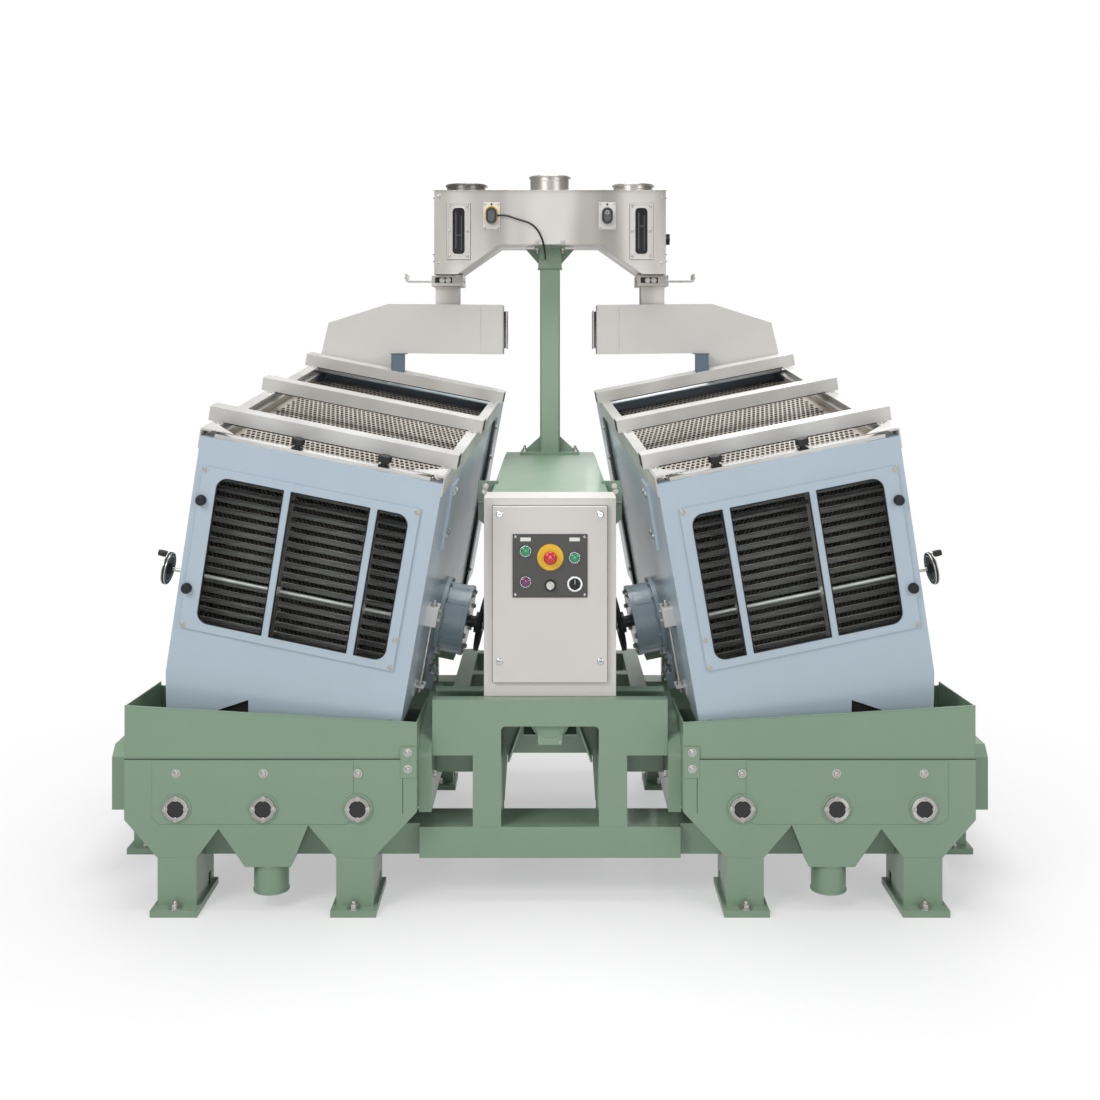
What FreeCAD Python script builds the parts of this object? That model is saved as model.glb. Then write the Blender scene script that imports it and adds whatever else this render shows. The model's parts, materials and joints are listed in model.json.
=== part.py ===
"""Paddy separator with two tray decks, written as separate pieces in millimetres, +Z up.

Two decks of dimpled trays lean towards a central pedestal. Each deck rocks on two arms
over a welded base, takes grain from a feeder bridge above, and drops three products
through a windowed front casing into an outlet hopper. The left half is modelled and the
right half is its mirror image.
"""
import FreeCAD, Part
import math
import os

Vector = FreeCAD.Vector
ACROSS = Vector(1, 0, 0)
REARWARD = Vector(0, 1, 0)
UPWARD = Vector(0, 0, 1)
SLANT = math.sqrt(0.5)            # sine of a half right angle

# General sizes
sheet = 4.0                       # casing and hopper sheet
plate = 6.0                       # frame plate
running_gap = 0.05                # radial gap of a running fit
open_pivot_gap = 0.4              # radial gap of the pivot left open
clear = 1.0                       # gap between pieces that must not touch

# Left deck: its size, its lower inner front corner, and its three angles in degrees
deck_width = 750.0
deck_length = 1560.0
deck_height = 763.0
deck_inner = 457.95
deck_front = 75.0
deck_foot = 714.0
deck_turn = 3.5
deck_lean = 11.0
deck_rise = 8.0
deck_span = deck_width * math.cos(math.radians(deck_lean)) * math.cos(math.radians(deck_turn))
deck_outer = deck_inner + deck_span
deck_corner = Vector(-deck_outer, deck_front, deck_foot)
reach = 2 * (deck_outer + deck_length)   # longer than the machine, for trimming cuts
feeder_setback = 180.0
feeder_mid = deck_length - feeder_setback

# Outlet hopper, as distances from the middle plane and heights from the floor
hopper_outer = deck_outer + 106.2
hopper_inner = 406.0
hopper_depth = 400.0
hopper_rim_outer = 627.0
hopper_rim_inner = 575.0
hopper_back_drop = 30.0
hopper_side_drop = 18.0
hopper_seam = 466.0
seam_overlap = 26.0
shoulder_outer = 281.0
shoulder_inner = 305.0
flat_bottom = 165.0
middle_bottom = 137.0
outer_flat = (hopper_outer - 102.0, hopper_outer - 221.0)
inner_flat = (652.0, 538.0)
middle_flat = (hopper_outer - 369.0, hopper_outer - 509.0)
outer_ridge = (hopper_outer - 288.0, 253.0)
inner_ridge = (hopper_outer - 561.0, 264.0)
partition_top = 500.0
throat_depth = 112.0
throat_top = 240.0
slope_top = 470.0
spout_width = 107.0
spout_foot = 49.0
rear_spout = 110.0
rear_spout_y = 325.0
rear_spout_foot = 150.0
cover_outer = hopper_outer - 85.0
cover_inner = 600.0
cover_foot = 268.0
cover_thick = 2.0
cover_corner = 22.0
tab_width = 50.0
tab_foot = 408.0
tab_head = 504.0
glass_stations = (hopper_outer - 159.0, hopper_outer - 425.0, hopper_outer - 713.0)
glass_height = 316.0
boss_radius = 46.0
boss_thick = 4.0
ring_radius = 37.0
ring_thick = 6.0
lens_radius = 26.6
lens_thick = 4.0

# Welded base
frame_front = 80.0
frame_second = 252.0
frame_half = 366.0
frame_top = 627.0
frame_flange = 40.0
beam_foot = 136.0
beam_top = 232.0
opening_half = 152.0
opening_top = 544.0
opening_corner = 14.0
post_outer = 240.0
side_opening_top = 454.0
second_opening_half = (148.0, 136.0)
second_opening_top = 413.0
second_side_top = 352.0
cheek_thick = 40.0
cheek_front = 60.0
cheek_rear = 540.0
cheek_foot = 285.0
cheek_nose = 517.0
cheek_crown = 569.0
cheek_radius = 70.0
cheek_bolt_places = (
    (431.0, 468.0), (305.0, 466.0), (124.0, 484.0), (140.0, 380.0), (418.0, 530.0), (190.0, 500.0),
)
cheek_slot_y = 132.0
cheek_slot = (398.0, 464.0)
cheek_slot_radius = 6.0
cheek_recess = (150.0, 500.0, 305.0, 440.0)
side_beam_width = 137.0
side_beam_front = 320.0
side_beam_rear = feeder_mid + 150.0
side_beam_foot = 207.0
side_beam_top = 413.0
side_beam_slope = 34.0
cross_beam_top = 330.0
cross_beam_width = 90.0
mid_beam_y = 505.0
rear_beam_y = feeder_mid - 155.0
rear_beam_width = 110.0
rail_width = 60.0
rail_height = 70.0
rail_inset = 12.0
rail_rear = feeder_mid + 120.0
tube_wall = 5.0

# Legs, foot plates and anchor bolts
foot_thick = 20.0
foot_margin = 12.0
foot_toe = 43.0
leg_depth = 220.0
rear_leg_width = 90.0
rear_leg_stations = (hopper_outer - 109.0, 380.0)
side_leg_y = 530.0
side_leg_inset = 37.0
leg_notch = 34.0
leg_notch_top = 62.0
anchor_setback = 22.0
anchor_radius = 6.0
anchor_head = 19.0
anchor_head_height = 9.0
anchor_stud = 14.0

# Deck casing, in the deck's own directions: across, rearward, upward
skirt_depth = 160.0
skirt_outer_drop = 150.0
skirt_foot_rise = 12.0
skirt_side_rise = 20.0
skirt_outer_inset = 24.0
skirt_notch = ((110.0, -128.0), (270.0, -33.0), (285.0, -124.0))
skirt_inner = ((700.0, -60.0), (750.0, -20.0))
window_left = 73.0
window_right = 667.0
window_foot = 184.0
window_head = 648.0
window_corner = 36.0
mullions = ((279.0, 302.0), (547.0, 571.0))
cover_left = 22.0
cover_right = 699.0
cover_low = 156.0
cover_high = 675.0
window_cover_thick = 6.0
pane_thick = 3.0
pane_margin = 20.0
front_flange = 36.0
inlet_chamber = 224.0
inlet_mouth_margin = 24.0

# Trays
tray_count = 20
tray_base = 90.0
tray_headroom = 13.0
tray_pitch = (deck_height - tray_base - tray_headroom) / tray_count
tray_sheet = 2.0
tray_lip = 15.0
tray_bar = 12.0
tray_front = 112.0
tray_rear = deck_length - 230.0
tray_side_gap = 4.0

# Top frame
rail_rise = 22.0
rail_drop = 40.0
rail_reach = 30.0
rail_sheet = 4.0
crossbar_depth = 60.0
crossbar_height = 45.0
crossbar_wall = 3.0
crossbar_overhang = 20.0
crossbar_stations = (119.0, tray_rear / 2 + 23.0, tray_rear - 54.0)
gusset_leg = 100.0
gusset_thick = 3.0
clamp_bar = (40.0, 710.0, 6.0, 34.0)
clamp_bar_thick = 12.0
top_knob_stations = (293.0, 562.0)
top_knob_radius = 18.0
top_knob_height = 34.0
knob_stem = 7.0
cover_knobs = ((33.0, 568.0), (29.0, 285.0))
cover_knob_radius = 15.0
cover_knob_tip = 10.5
cover_knob_height = 17.0

# Rocker arms, with pivot places along and above the deck's underside
rocker_stations = {"front": 500.0, "rear": deck_length - 320.0}
top_pivot_drop = 75.0
rocker_length = 90.0
rocker_tilt = 20.0
rocker_arm_gap = 92.0
rocker_arm_thick = 16.0
rocker_eye = 22.0
rocker_web = 13.0
rocker_tube = 20.0
rocker_tube_bore = 15.0
pivot_pin = 12.0
lug_thick = 12.0
lug_gap = 2.0
lug_eye = 19.0
lug_stand = 16.0
subframe_depth = 64.0
subframe_height = 45.0
subframe_margin = 40.0
bed_beam_height = 45.0
bed_beam_depth = 60.0
bed_reach_outer = 40.0
bed_reach_inner = 20.0
post_width = 60.0
post_depth = 56.0
post_stations = (hopper_outer - 119.0, 470.0)

# Drive drum and its shaft on the deck's inner side
drum_along = 640.0
drum_height = 130.0
flange_radius = 135.0
flange_thick = 14.0
barrel_radius = 120.0
barrel_wall = 14.0
barrel_length = 74.0
drum_cover_thick = 8.0
bearing_radius = 42.0
bearing_width = 22.0
shaft_radius = 20.0
shaft_thread = 12.0
shaft_start = 6.0
disc_place = 134.0
disc_radius = 96.0
disc_thick = 12.0
disc_hub_radius = 36.0
disc_hub = 14.0
nut_across = 36.0
nut_thick = 14.0
weight_radius = 92.0
weight_thick = 18.0
weight_place = 42.0

# Divider spindle, handwheel and gates
spindle_along = 60.0
spindle_height = 310.0
spindle_radius = 6.0
wheel_place = 58.0
wheel_radius = 44.0
wheel_rim = 6.0
wheel_hub = 13.0
wheel_hub_length = 26.0
wheel_spoke = 4.5
spoke_count = 3
crank_radius = 8.0
crank_tip = 6.4
crank_length = 36.0
bush_radius = 15.0
bush_length = 12.0
gate_thick = 4.0
gate_front = 30.0
gate_rear = 100.0
gate_foot = 16.0
gate_head = 700.0
gate_nut_radius = 15.0
spindle_lead = 6.0
gate_nut_length = 4 * spindle_lead
guide_height = 600.0
guide_radius = 5.0

# Fittings on the deck's inner side
post_strip = (tray_rear - 94.0, tray_rear - 30.0)
post_strip_thick = 10.0
post_strip_foot = -150.0
latch_along = (150.0, 214.0)
latch_height = (262.0, 322.0)
latch_depth = 36.0
latch_rod = 6.0
latch_rod_reach = 34.0
side_plate_along = (236.0, 344.0)
side_plate_gap = 23.0
side_plate_tall = 214.0
side_plate_top = deck_height - rail_drop - side_plate_gap
side_plate_thick = 8.0
lower_bracket_along = (440.0, 528.0)
lower_bracket_height = (-62.0, -6.0)
lower_bracket_depth = 30.0
lower_bracket_top = 48.0

# Inlet hood on the deck's rear, as distances from the middle plane and heights
hood_front = feeder_mid - 104.0
hood_rear = feeder_mid + 76.0
hood_left_shoulder = (877.0, 1822.0)
hood_left_peak = (642.0, 1897.0)
hood_right_peak = (187.0, 1893.0)
hood_right_foot = (187.0, 1697.0)
hood_throat = (618.0, 1702.0)
hood_skirt_right = (652.0, 1560.0)
hood_skirt_left = (938.0, 1560.0)
hood_sheet = 3.0
hood_end_rim = 14.0
hood_strut_span = (618.0, 570.0)
hood_strut_depth = 40.0

# Feeder bridge
feeder_depth = 328.0
feeder_half = 454.0
feeder_height = 370.0
feeder_clearance = 71.0
gate_low = hood_left_peak[1] + feeder_clearance
gate_height = 43.0
gate_top = gate_low + gate_height
feeder_top = gate_low + feeder_height
arch_height = 160.0
arch_top = gate_low + arch_height
arch_half = 198.0
leg_inner = 364.0
gate_half_depth = 92.0
gate_inner = 346.0
gate_outer = 470.0
duct_half_depth = 58.0
duct_outer = 457.0
duct_length = 100.0
duct_foot = gate_low - duct_length
duct_gap = 24.0
slide_thick = 4.0
slide_rise = 20.0
slide_height = gate_low + slide_rise
slide_half_depth = 54.0
slide_gap = 0.5
slide_travel = 90.0
slide_handle = 26.0
slide_handle_rise = 30.0
spigot_radius = 79.0
spigot_bore = 75.0
spigot_rim = 4.0
spigot_places = (0.0, 336.0)
centre_spigot_top = feeder_top + 73.0
side_spigot_top = feeder_top + 40.0
window_frame_width = 90.0
window_frame_height = 222.0
window_frame_mid = feeder_top - 158.0
window_frame_x = 358.0
window_frame_thick = 4.0
window_glass_width = 41.0
window_glass_height = 174.0
window_glass_corner = 12.3
sensor_x = (-229.0, 224.0)
sensor_z = feeder_top - 99.0
sensor_plate = (65.0, 105.0)
sensor_plate_thick = 4.0
sensor_body = (43.0, 63.0)
sensor_body_depth = 22.0
star_radius = 24.0
star_lobe = 7.0
star_lobes = 6
star_thick = 14.0
star_height = feeder_top - 178.0
star_stem = 8.0
star_stem_length = 14.0

# Mast and pedestal
mast_half = 40.0
mast_wall = 5.0
mast_corner = 8.0
sleeve_half = 47.0
sleeve_length = 88.0
sleeve_foot = arch_top - sleeve_length
mast_flange_half = 60.0
mast_flange_thick = 8.0
mast_rib = (98.0, arch_top - 66.0)
mast_gusset = (106.0, 60.0)
base_half = 118.0
base_half_depth = 70.0
base_thick = 10.0
pedestal_front_half = 190.0
pedestal_rear_half = 176.0
pedestal_rear = feeder_mid + 90.0
pedestal_front_top = 1249.0
pedestal_top = 1296.0
pedestal_slope_end = feeder_mid - 90.0
bracket_reach = 245.0
bracket_y = 500.0
bracket_thick = 12.0
bracket_top = 1268.0
bracket_step = 1138.0
bracket_foot = 1080.0

# Control cabinet
cabinet_front = 128.0
cabinet_half = 207.5
cabinet_depth = 190.0
cabinet_top = 1249.0
cabinet_sheet = 3.0
door_half = 180.0
door_top = 1225.0
door_foot = 673.0
door_thick = 15.0
door_gap = 0.5
door_skin = 2.0
door_overlap = 6.0
panel_half = 117.0
panel_top = 1138.0
panel_foot = 940.0
panel_thick = 3.0
lock_x = 158.0
lock_heights = (1200.0, 739.0)
lock_radius = 8.0
lock_proud = 3.0
buttons = {"start_button": (-76.5, 1085.0), "feed_button": (76.8, 1064.6), "stop_button": (-76.5, 989.0)}
button_radius = 14.0
bezel_radius = 18.0
bezel_proud = 5.0
bezel_gap = 1.0
key_bezel = 5.0
button_proud = 9.0
button_cap = 4.5
stem_radius = 9.0
stem_depth = 40.0
stop_place = (1.0, 1065.6)
collar_radius = 41.0
collar_thick = 2.0
mushroom_radius = 20.0
mushroom_proud = 28.0
mushroom_cap = 10.0
mushroom_rim = 6.0
mushroom_crown = 16.0
key_place = (1.0, 978.0)
key_radius = 13.0
key_blade = (4.0, 20.0, 26.0)
rotary_place = (77.7, 982.5)
rotary_ring = 24.5
rotary_radius = 17.0
rotary_pointer = (8.0, 34.0, 12.0)

# Motor under the cabinet
motor_radius = 62.0
motor_height = 557.0
motor_front = 112.0
motor_rear = 314.0
motor_fins = 4
motor_fin_depth = 5.0
motor_cap = 128.0
terminal_half = 38.0
terminal_foot = 480.0
terminal_proud = 8.0
terminal_depth = 60.0
cradle_top_half = 84.0
cradle_foot_half = 128.0
cradle_thick = 6.0
cradle_top = 535.0
cradle_depth = 104.0
saddle_drop = 34.0

# Level sensor cable: from the sensor over to the mast sleeve, each point chosen by hand
cable_radius = 4.0
cable_setback = 0.45               # share of the shorter run that a bend takes up
cable_route = (
    (-207.2, 1200.0, 2240.0),
    (-182.0, 1199.0, 2241.5),
    (-157.0, 1194.0, 2236.0),
    (-132.0, 1188.0, 2226.0),
    (-106.0, 1183.0, 2218.0),
    (-80.0, 1181.0, 2209.0),
    (-56.0, 1184.0, 2192.0),
    (-38.0, 1190.0, 2166.0),
    (-27.0, 1202.0, 2136.0),
    (-21.0, 1222.0, 2106.0),
    (-19.0, 1249.0, 2087.0),
    (-19.0, 1278.0, 2078.0),
    (-18.5, 1306.0, 2076.0),
    (-18.0, 1333.0, 2079.0),
)

nodes = {}


def keep(name, *solids):
    """Hold the solids of one node under its name."""
    nodes[name] = Part.makeCompound(list(solids))


def block(x0, x1, y0, y1, z0, z1):
    """Return a box between two opposite corners."""
    return Part.makeBox(x1 - x0, y1 - y0, z1 - z0, Vector(x0, y0, z0))


def prism(corners, sweep):
    """Return the polygon through the corners, extruded along sweep."""
    outline = Part.makePolygon(list(corners) + [corners[0]])
    return Part.Face(outline).extrude(sweep)


def along_x(points, x0, x1):
    """Extrude (y, z) points across the machine."""
    return prism([Vector(x0, y, z) for y, z in points], Vector(x1 - x0, 0, 0))


def along_y(points, y0, y1):
    """Extrude (x, z) points from front to rear."""
    return prism([Vector(x, y0, z) for x, z in points], Vector(0, y1 - y0, 0))


def along_z(points, z0, z1):
    """Extrude (x, y) points upwards."""
    return prism([Vector(x, y, z0) for x, y in points], Vector(0, 0, z1 - z0))


def rod(start, direction, radius, length):
    """Return a round bar."""
    return Part.makeCylinder(radius, length, start, direction)


def pipe(start, direction, outer, inner, length):
    """Return a round tube."""
    return rod(start, direction, outer, length).cut(rod(start, direction, inner, length))


def capped_tube(x0, x1, y0, y1, z0, z1):
    """Return a rectangular tube of the base, closed at both ends."""
    return box_tube(x0, x1, y0, y1, z0, z1, tube_wall, Vector())


def box_tube(x0, x1, y0, y1, z0, z1, wall, open_axis):
    """Return a rectangular tube, open at both ends of one axis."""
    inset = Vector(wall, wall, wall) - open_axis * wall
    core = block(x0 + inset.x, x1 - inset.x, y0 + inset.y, y1 - inset.y, z0 + inset.z, z1 - inset.z)
    return block(x0, x1, y0, y1, z0, z1).cut(core)


def rounded_upright(solid, axis, radius):
    """Round the straight edges that run along one axis."""
    edges = [edge for edge in solid.Edges if abs(edge.tangentAt(edge.FirstParameter).dot(axis)) > 0.999]
    return solid.makeFillet(radius, edges)


def hexagon(seat, direction, across_flats, height):
    """Return a hexagonal head standing on its seat."""
    corner = across_flats / math.sqrt(3)
    turns = [math.radians(60 * step) for step in range(6)]
    head = along_z([(corner * math.cos(turn), corner * math.sin(turn)) for turn in turns], 0, height)
    head.Placement = FreeCAD.Placement(seat, FreeCAD.Rotation(UPWARD, direction))
    return head


def mitred_strips(points, thickness, closed=False):
    """Return the sheet panels that follow a folded line, as corner lists with mitred ends.

    The sheet lies on the right-hand side of the line as it is walked.
    """
    count = len(points)
    legs = count if closed else count - 1
    inner = []
    for index, (x, z) in enumerate(points):
        before = max(index - 1, 0) if not closed else (index - 1) % count
        after = min(index, count - 2) if not closed else index
        normals = []
        for start in (before, after):
            ax, az = points[start]
            bx, bz = points[(start + 1) % count]
            length = math.hypot(bx - ax, bz - az)
            normals.append(((bz - az) / length, -(bx - ax) / length))
        (ux, uz), (vx, vz) = normals
        scale = thickness / (1 + ux * vx + uz * vz)
        inner.append((x + (ux + vx) * scale, z + (uz + vz) * scale))
    strips = []
    for index in range(legs):
        other = (index + 1) % count
        strips.append([points[index], points[other], inner[other], inner[index]])
    return strips


def opposite(shape):
    """Return the mirror image on the other side of the machine."""
    return shape.mirror(Vector(0, 0, 0), ACROSS)


def deck_placement():
    """Return the pose of the left deck."""
    turn = FreeCAD.Rotation(UPWARD, -deck_turn)
    lean = FreeCAD.Rotation(REARWARD, deck_lean)
    rise = FreeCAD.Rotation(ACROSS, deck_rise)
    return FreeCAD.Placement(deck_corner, turn.multiply(lean).multiply(rise))


def on_deck(shape):
    """Carry a shape from the deck's own directions to the machine's."""
    placed = shape.copy()
    placed.Placement = deck_placement().multiply(shape.Placement)
    return placed


def deck_point(x, y, z):
    """Return where a point of the deck lies in the machine."""
    return deck_placement().multVec(Vector(x, y, z))


def below_deck_level(level):
    """Return a large block below a level of the deck."""
    return on_deck(block(-reach, reach, -reach, reach, level - reach, level))


def above_deck_level(level):
    """Return a large block above a level of the deck."""
    return on_deck(block(-reach, reach, -reach, reach, level, level + reach))


def both_sides(shapes):
    """Return the left shapes and their mirror images."""
    return list(shapes) + [opposite(shape) for shape in shapes]


def keep_pair(name, shapes):
    """Hold a left node and its mirrored right node."""
    keep("left_" + name, *shapes)
    keep("right_" + name, *[opposite(shape) for shape in shapes])


def hopper_outline():
    """Return the lower outline of the left hopper from its inner to its outer side."""
    return [
        (-hopper_inner, shoulder_inner),
        (-inner_flat[1], flat_bottom),
        (-inner_flat[0], flat_bottom),
        (-inner_ridge[0], inner_ridge[1]),
        (-middle_flat[1], middle_bottom),
        (-middle_flat[0], middle_bottom),
        (-outer_ridge[0], outer_ridge[1]),
        (-outer_flat[1], flat_bottom),
        (-outer_flat[0], flat_bottom),
        (-hopper_outer, shoulder_outer),
    ]


def spout_places():
    """Return the middles of the outer and inner rear spouts."""
    outer = -(outer_ridge[0] + hopper_outer) / 2
    inner = -(inner_ridge[0] + hopper_inner) / 2
    return outer, inner


def rear_line():
    """Return the hopper's rear from top to bottom, as distances from its front and heights."""
    return [
        (hopper_depth, reach), (hopper_depth, slope_top),
        (throat_depth, throat_top), (throat_depth, -reach),
    ]


def behind_rear():
    """Return the space behind the inner faces of the hopper's rear panels."""
    strips = mitred_strips(rear_line(), sheet)
    line = [strip[3] for strip in strips] + [strips[-1][2]]
    return along_x(line + [(reach, -reach), (reach, reach)], -reach, 0)


def middle_spout():
    """Return where the middle spout's axis crosses its lower edge."""
    return Vector(-(middle_flat[0] + middle_flat[1]) / 2, throat_depth / 2, spout_foot)


def hopper():
    """Build the left outlet hopper from its folded panels."""
    outline = hopper_outline()
    low_seam = hopper_seam - seam_overlap
    lower = [(-hopper_inner, hopper_seam)] + outline + [(-hopper_outer, hopper_seam)]
    upper = [
        (-hopper_inner, low_seam), (-hopper_outer, low_seam),
        (-hopper_outer, hopper_rim_outer), (-hopper_inner, hopper_rim_inner),
    ]
    bore = rod(middle_spout(), UPWARD, spout_width / 2 - sheet, throat_top)
    solids = [along_y(lower, 0, sheet), along_y(upper, sheet, 2 * sheet)]
    walls = [along_y(strip, 2 * sheet, hopper_depth).cut(bore) for strip in mitred_strips(outline, sheet)]
    walls.append(hopper_side(-hopper_outer, -hopper_outer + sheet, shoulder_outer, hopper_rim_outer))
    walls.append(hopper_side(-hopper_inner - sheet, -hopper_inner, shoulder_inner, hopper_rim_inner))
    for x, z in (outer_ridge, inner_ridge):
        left = -x - sheet / 2
        walls.append(block(left, left + sheet, 2 * sheet, hopper_depth, z + 2 * sheet, partition_top))
    solids.extend(wall.cut(behind_rear()) for wall in walls)
    spout_length = middle_bottom - spout_foot
    solids.append(pipe(middle_spout(), UPWARD, spout_width / 2, spout_width / 2 - sheet, spout_length))
    return solids + hopper_rear(outline)


def hopper_rear(outline):
    """Build the hopper's back, sloping rear and throat wall, and the two rear spouts."""
    back_rims = [
        (-hopper_outer, hopper_rim_outer - hopper_back_drop),
        (-hopper_inner, hopper_rim_inner - 2 * hopper_back_drop),
    ]
    inside = along_y(outline + back_rims, 0, hopper_depth)
    strips = mitred_strips(rear_line(), sheet)
    back, slope, throat = [inside.common(along_x(strip, -reach, 0)) for strip in strips]
    behind = along_x(rear_line() + [(reach, -reach), (reach, reach)], -reach, 0)
    radius = rear_spout / 2
    spouts = []
    for x in spout_places():
        start = Vector(x, rear_spout_y, rear_spout_foot)
        length = slope_top - rear_spout_foot
        spouts.append(pipe(start, UPWARD, radius, radius - sheet, length).common(behind))
        slope = slope.cut(rod(start, UPWARD, radius - sheet, length))
    return [back, slope, throat] + spouts


def hopper_side(x0, x1, foot, rim):
    """Return one side wall of the hopper, its rim falling to the rear."""
    points = [
        (2 * sheet, foot + 2 * sheet), (2 * sheet, rim),
        (hopper_depth, rim - hopper_side_drop), (hopper_depth, foot + 2 * sheet),
    ]
    return along_x(points, x0, x1)


def hopper_cover():
    """Build the raised access cover and the corner tab on the left hopper's lower front."""
    corner = cover_corner
    points = [
        (-cover_outer, hopper_seam - sheet),
        (-cover_outer, cover_foot + corner),
        (-cover_outer + corner, cover_foot),
        (-cover_inner - corner, cover_foot),
        (-cover_inner, cover_foot + corner),
        (-cover_inner, hopper_seam - sheet),
    ]
    cover = along_y(points, -cover_thick, 0)
    bosses = []
    for x in glass_stations:
        face = Vector(-x, 0, glass_height)
        cover = cover.cut(rod(Vector(-x, -cover_thick, glass_height), REARWARD, boss_radius, cover_thick))
        bosses.append(rod(face, -REARWARD, boss_radius, boss_thick))
    low_tab = block(-hopper_inner - tab_width, -hopper_inner, -cover_thick, 0, tab_foot, hopper_seam)
    high_tab = block(-hopper_inner - tab_width, -hopper_inner, -cover_thick, sheet, hopper_seam, tab_head)
    return [cover] + bosses + [low_tab.fuse(high_tab)]


def sight_glasses():
    """Return the steel rings and the dark lenses of the left hopper's sight glasses."""
    rings = []
    lenses = []
    for x in glass_stations:
        seat = Vector(-x, -boss_thick, glass_height)
        rings.append(pipe(seat, -REARWARD, ring_radius, lens_radius, ring_thick))
        lenses.append(rod(seat, -REARWARD, lens_radius - running_gap, lens_thick))
    return rings, lenses


def frame_plate(y, half, top_half, opening_head, side_head):
    """Build one upright plate of the front frame with its three openings."""
    solid = block(-frame_half, frame_half, y, y + plate, beam_top, frame_top)
    window = [(-half, beam_top), (-top_half, opening_head), (top_half, opening_head), (half, beam_top)]
    cut = rounded_upright(along_y(window, y, y + plate), REARWARD, opening_corner)
    floor = block(-half, half, y, y + plate, beam_top, beam_top + 2 * opening_corner)
    left = block(-frame_half, -post_outer, y, y + plate, beam_top, side_head)
    return solid.cut([cut, floor, left, opposite(left)])


def front_frame():
    """Build the bridge between the hoppers: two plates, top flanges and tunnel walls."""
    front = frame_plate(frame_front, opening_half, opening_half, opening_top, side_opening_top)
    low, high = second_opening_half
    second = frame_plate(frame_second, low, high, second_opening_top, second_side_top)
    motor_hole = rod(Vector(0, frame_second, motor_height), REARWARD, motor_radius + 2 * clear, plate)
    second = second.cut(motor_hole)
    gap_front = frame_front + plate
    flanges = [
        block(-frame_half, frame_half, start, start + frame_flange, frame_top - plate, frame_top)
        for start in (gap_front, frame_second - frame_flange)
    ]
    wall = block(-opening_half - plate, -opening_half, gap_front, frame_second, beam_top, opening_top)
    return [front, second] + flanges + both_sides([wall])


def lower_beams():
    """Build the beam across the front: its middle under the frame, its ends behind the hoppers."""
    behind = throat_depth + sheet
    rear = frame_second + plate
    middle = capped_tube(-hopper_inner, hopper_inner, frame_front, rear, beam_foot, beam_top)
    end = capped_tube(-outer_flat[0], -hopper_inner, behind, rear, beam_foot, beam_top)
    return [middle] + both_sides([end])


def cheek():
    """Build the left cheek that closes the frame beside the hopper."""
    mid = cheek_nose - cheek_radius
    corner = Part.Arc(
        Vector(0, cheek_front, mid),
        Vector(0, cheek_front + cheek_radius * (1 - SLANT), mid + cheek_radius * SLANT),
        Vector(0, cheek_front + cheek_radius, cheek_nose),
    ).toShape()
    rest = Part.makePolygon([
        Vector(0, cheek_front + cheek_radius, cheek_nose),
        Vector(0, cheek_rear, cheek_crown),
        Vector(0, cheek_rear, cheek_foot),
        Vector(0, cheek_front, cheek_foot),
        Vector(0, cheek_front, mid),
    ])
    face = Part.Face(Part.Wire([corner] + rest.Edges))
    solid = face.extrude(Vector(cheek_thick, 0, 0))
    solid.translate(Vector(-hopper_inner, 0, 0))
    length = cheek_thick + 2 * clear
    start = -hopper_inner - clear
    low, high = cheek_slot
    radius = cheek_slot_radius
    slot = block(start, start + length, cheek_slot_y - radius, cheek_slot_y + radius, low, high)
    for z in cheek_slot:
        slot = slot.fuse(rod(Vector(start, cheek_slot_y, z), ACROSS, radius, length))
    recess = block(-hopper_inner, -hopper_inner + cheek_thick - plate, *cheek_recess)
    return solid.cut([slot, recess])


def side_beam():
    """Build the left outer box beam with its sloped front end."""
    outer = -hopper_outer - side_beam_width
    points = [
        (side_beam_front, side_beam_foot),
        (side_beam_front, side_beam_top - side_beam_slope),
        (side_beam_front + side_beam_slope, side_beam_top),
        (side_beam_rear, side_beam_top),
        (side_beam_rear, side_beam_foot),
    ]
    solid = along_x(points, outer, -hopper_outer)
    core = block(
        outer + tube_wall, -hopper_outer - tube_wall,
        side_beam_front + side_beam_slope, side_beam_rear - tube_wall,
        side_beam_foot + tube_wall, side_beam_top - tube_wall,
    )
    return solid.cut(core)


def base_beams():
    """Build the cross beams, the inner rails and their ties."""
    cross_end = -hopper_outer
    mid_end = mid_beam_y + cross_beam_width
    rear_end = rear_beam_y + rear_beam_width
    rail_top = side_beam_top + rail_height
    rail_out = -frame_half + rail_inset
    rail_in = rail_out + rail_width
    behind = frame_second + plate
    left = [
        side_beam(),
        capped_tube(cross_end, -hopper_inner, mid_beam_y, mid_end, side_beam_foot, cross_beam_top),
        capped_tube(rail_out, rail_in, behind, rail_rear, side_beam_top, rail_top),
    ]
    ties = []
    cabinet_rear = cabinet_front + cabinet_depth
    tie_places = (cabinet_rear, rear_beam_y - 2 * cross_beam_width, pedestal_rear - rail_width)
    for y in tie_places:
        ties.append(capped_tube(rail_in, -rail_in, y, y + rail_width, side_beam_top, rail_top))
    rear = capped_tube(cross_end, -cross_end, rear_beam_y, rear_end, side_beam_foot, side_beam_top)
    return both_sides(left) + ties + [rear] + lower_beams()


def hollow_leg(x0, x1, y0, y1, top):
    """Build a square leg standing on its foot plate."""
    return box_tube(x0, x1, y0, y1, foot_thick, top, tube_wall, UPWARD)


def foot_plate(x0, x1, y0, y1):
    """Build the plate under a leg, with its anchor hole near the front edge."""
    solid = block(x0, x1, y0, y1, 0, foot_thick)
    hole = rod(Vector((x0 + x1) / 2, y0 + anchor_setback, 0), UPWARD, anchor_radius + clear, foot_thick)
    return solid.cut(hole)


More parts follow.
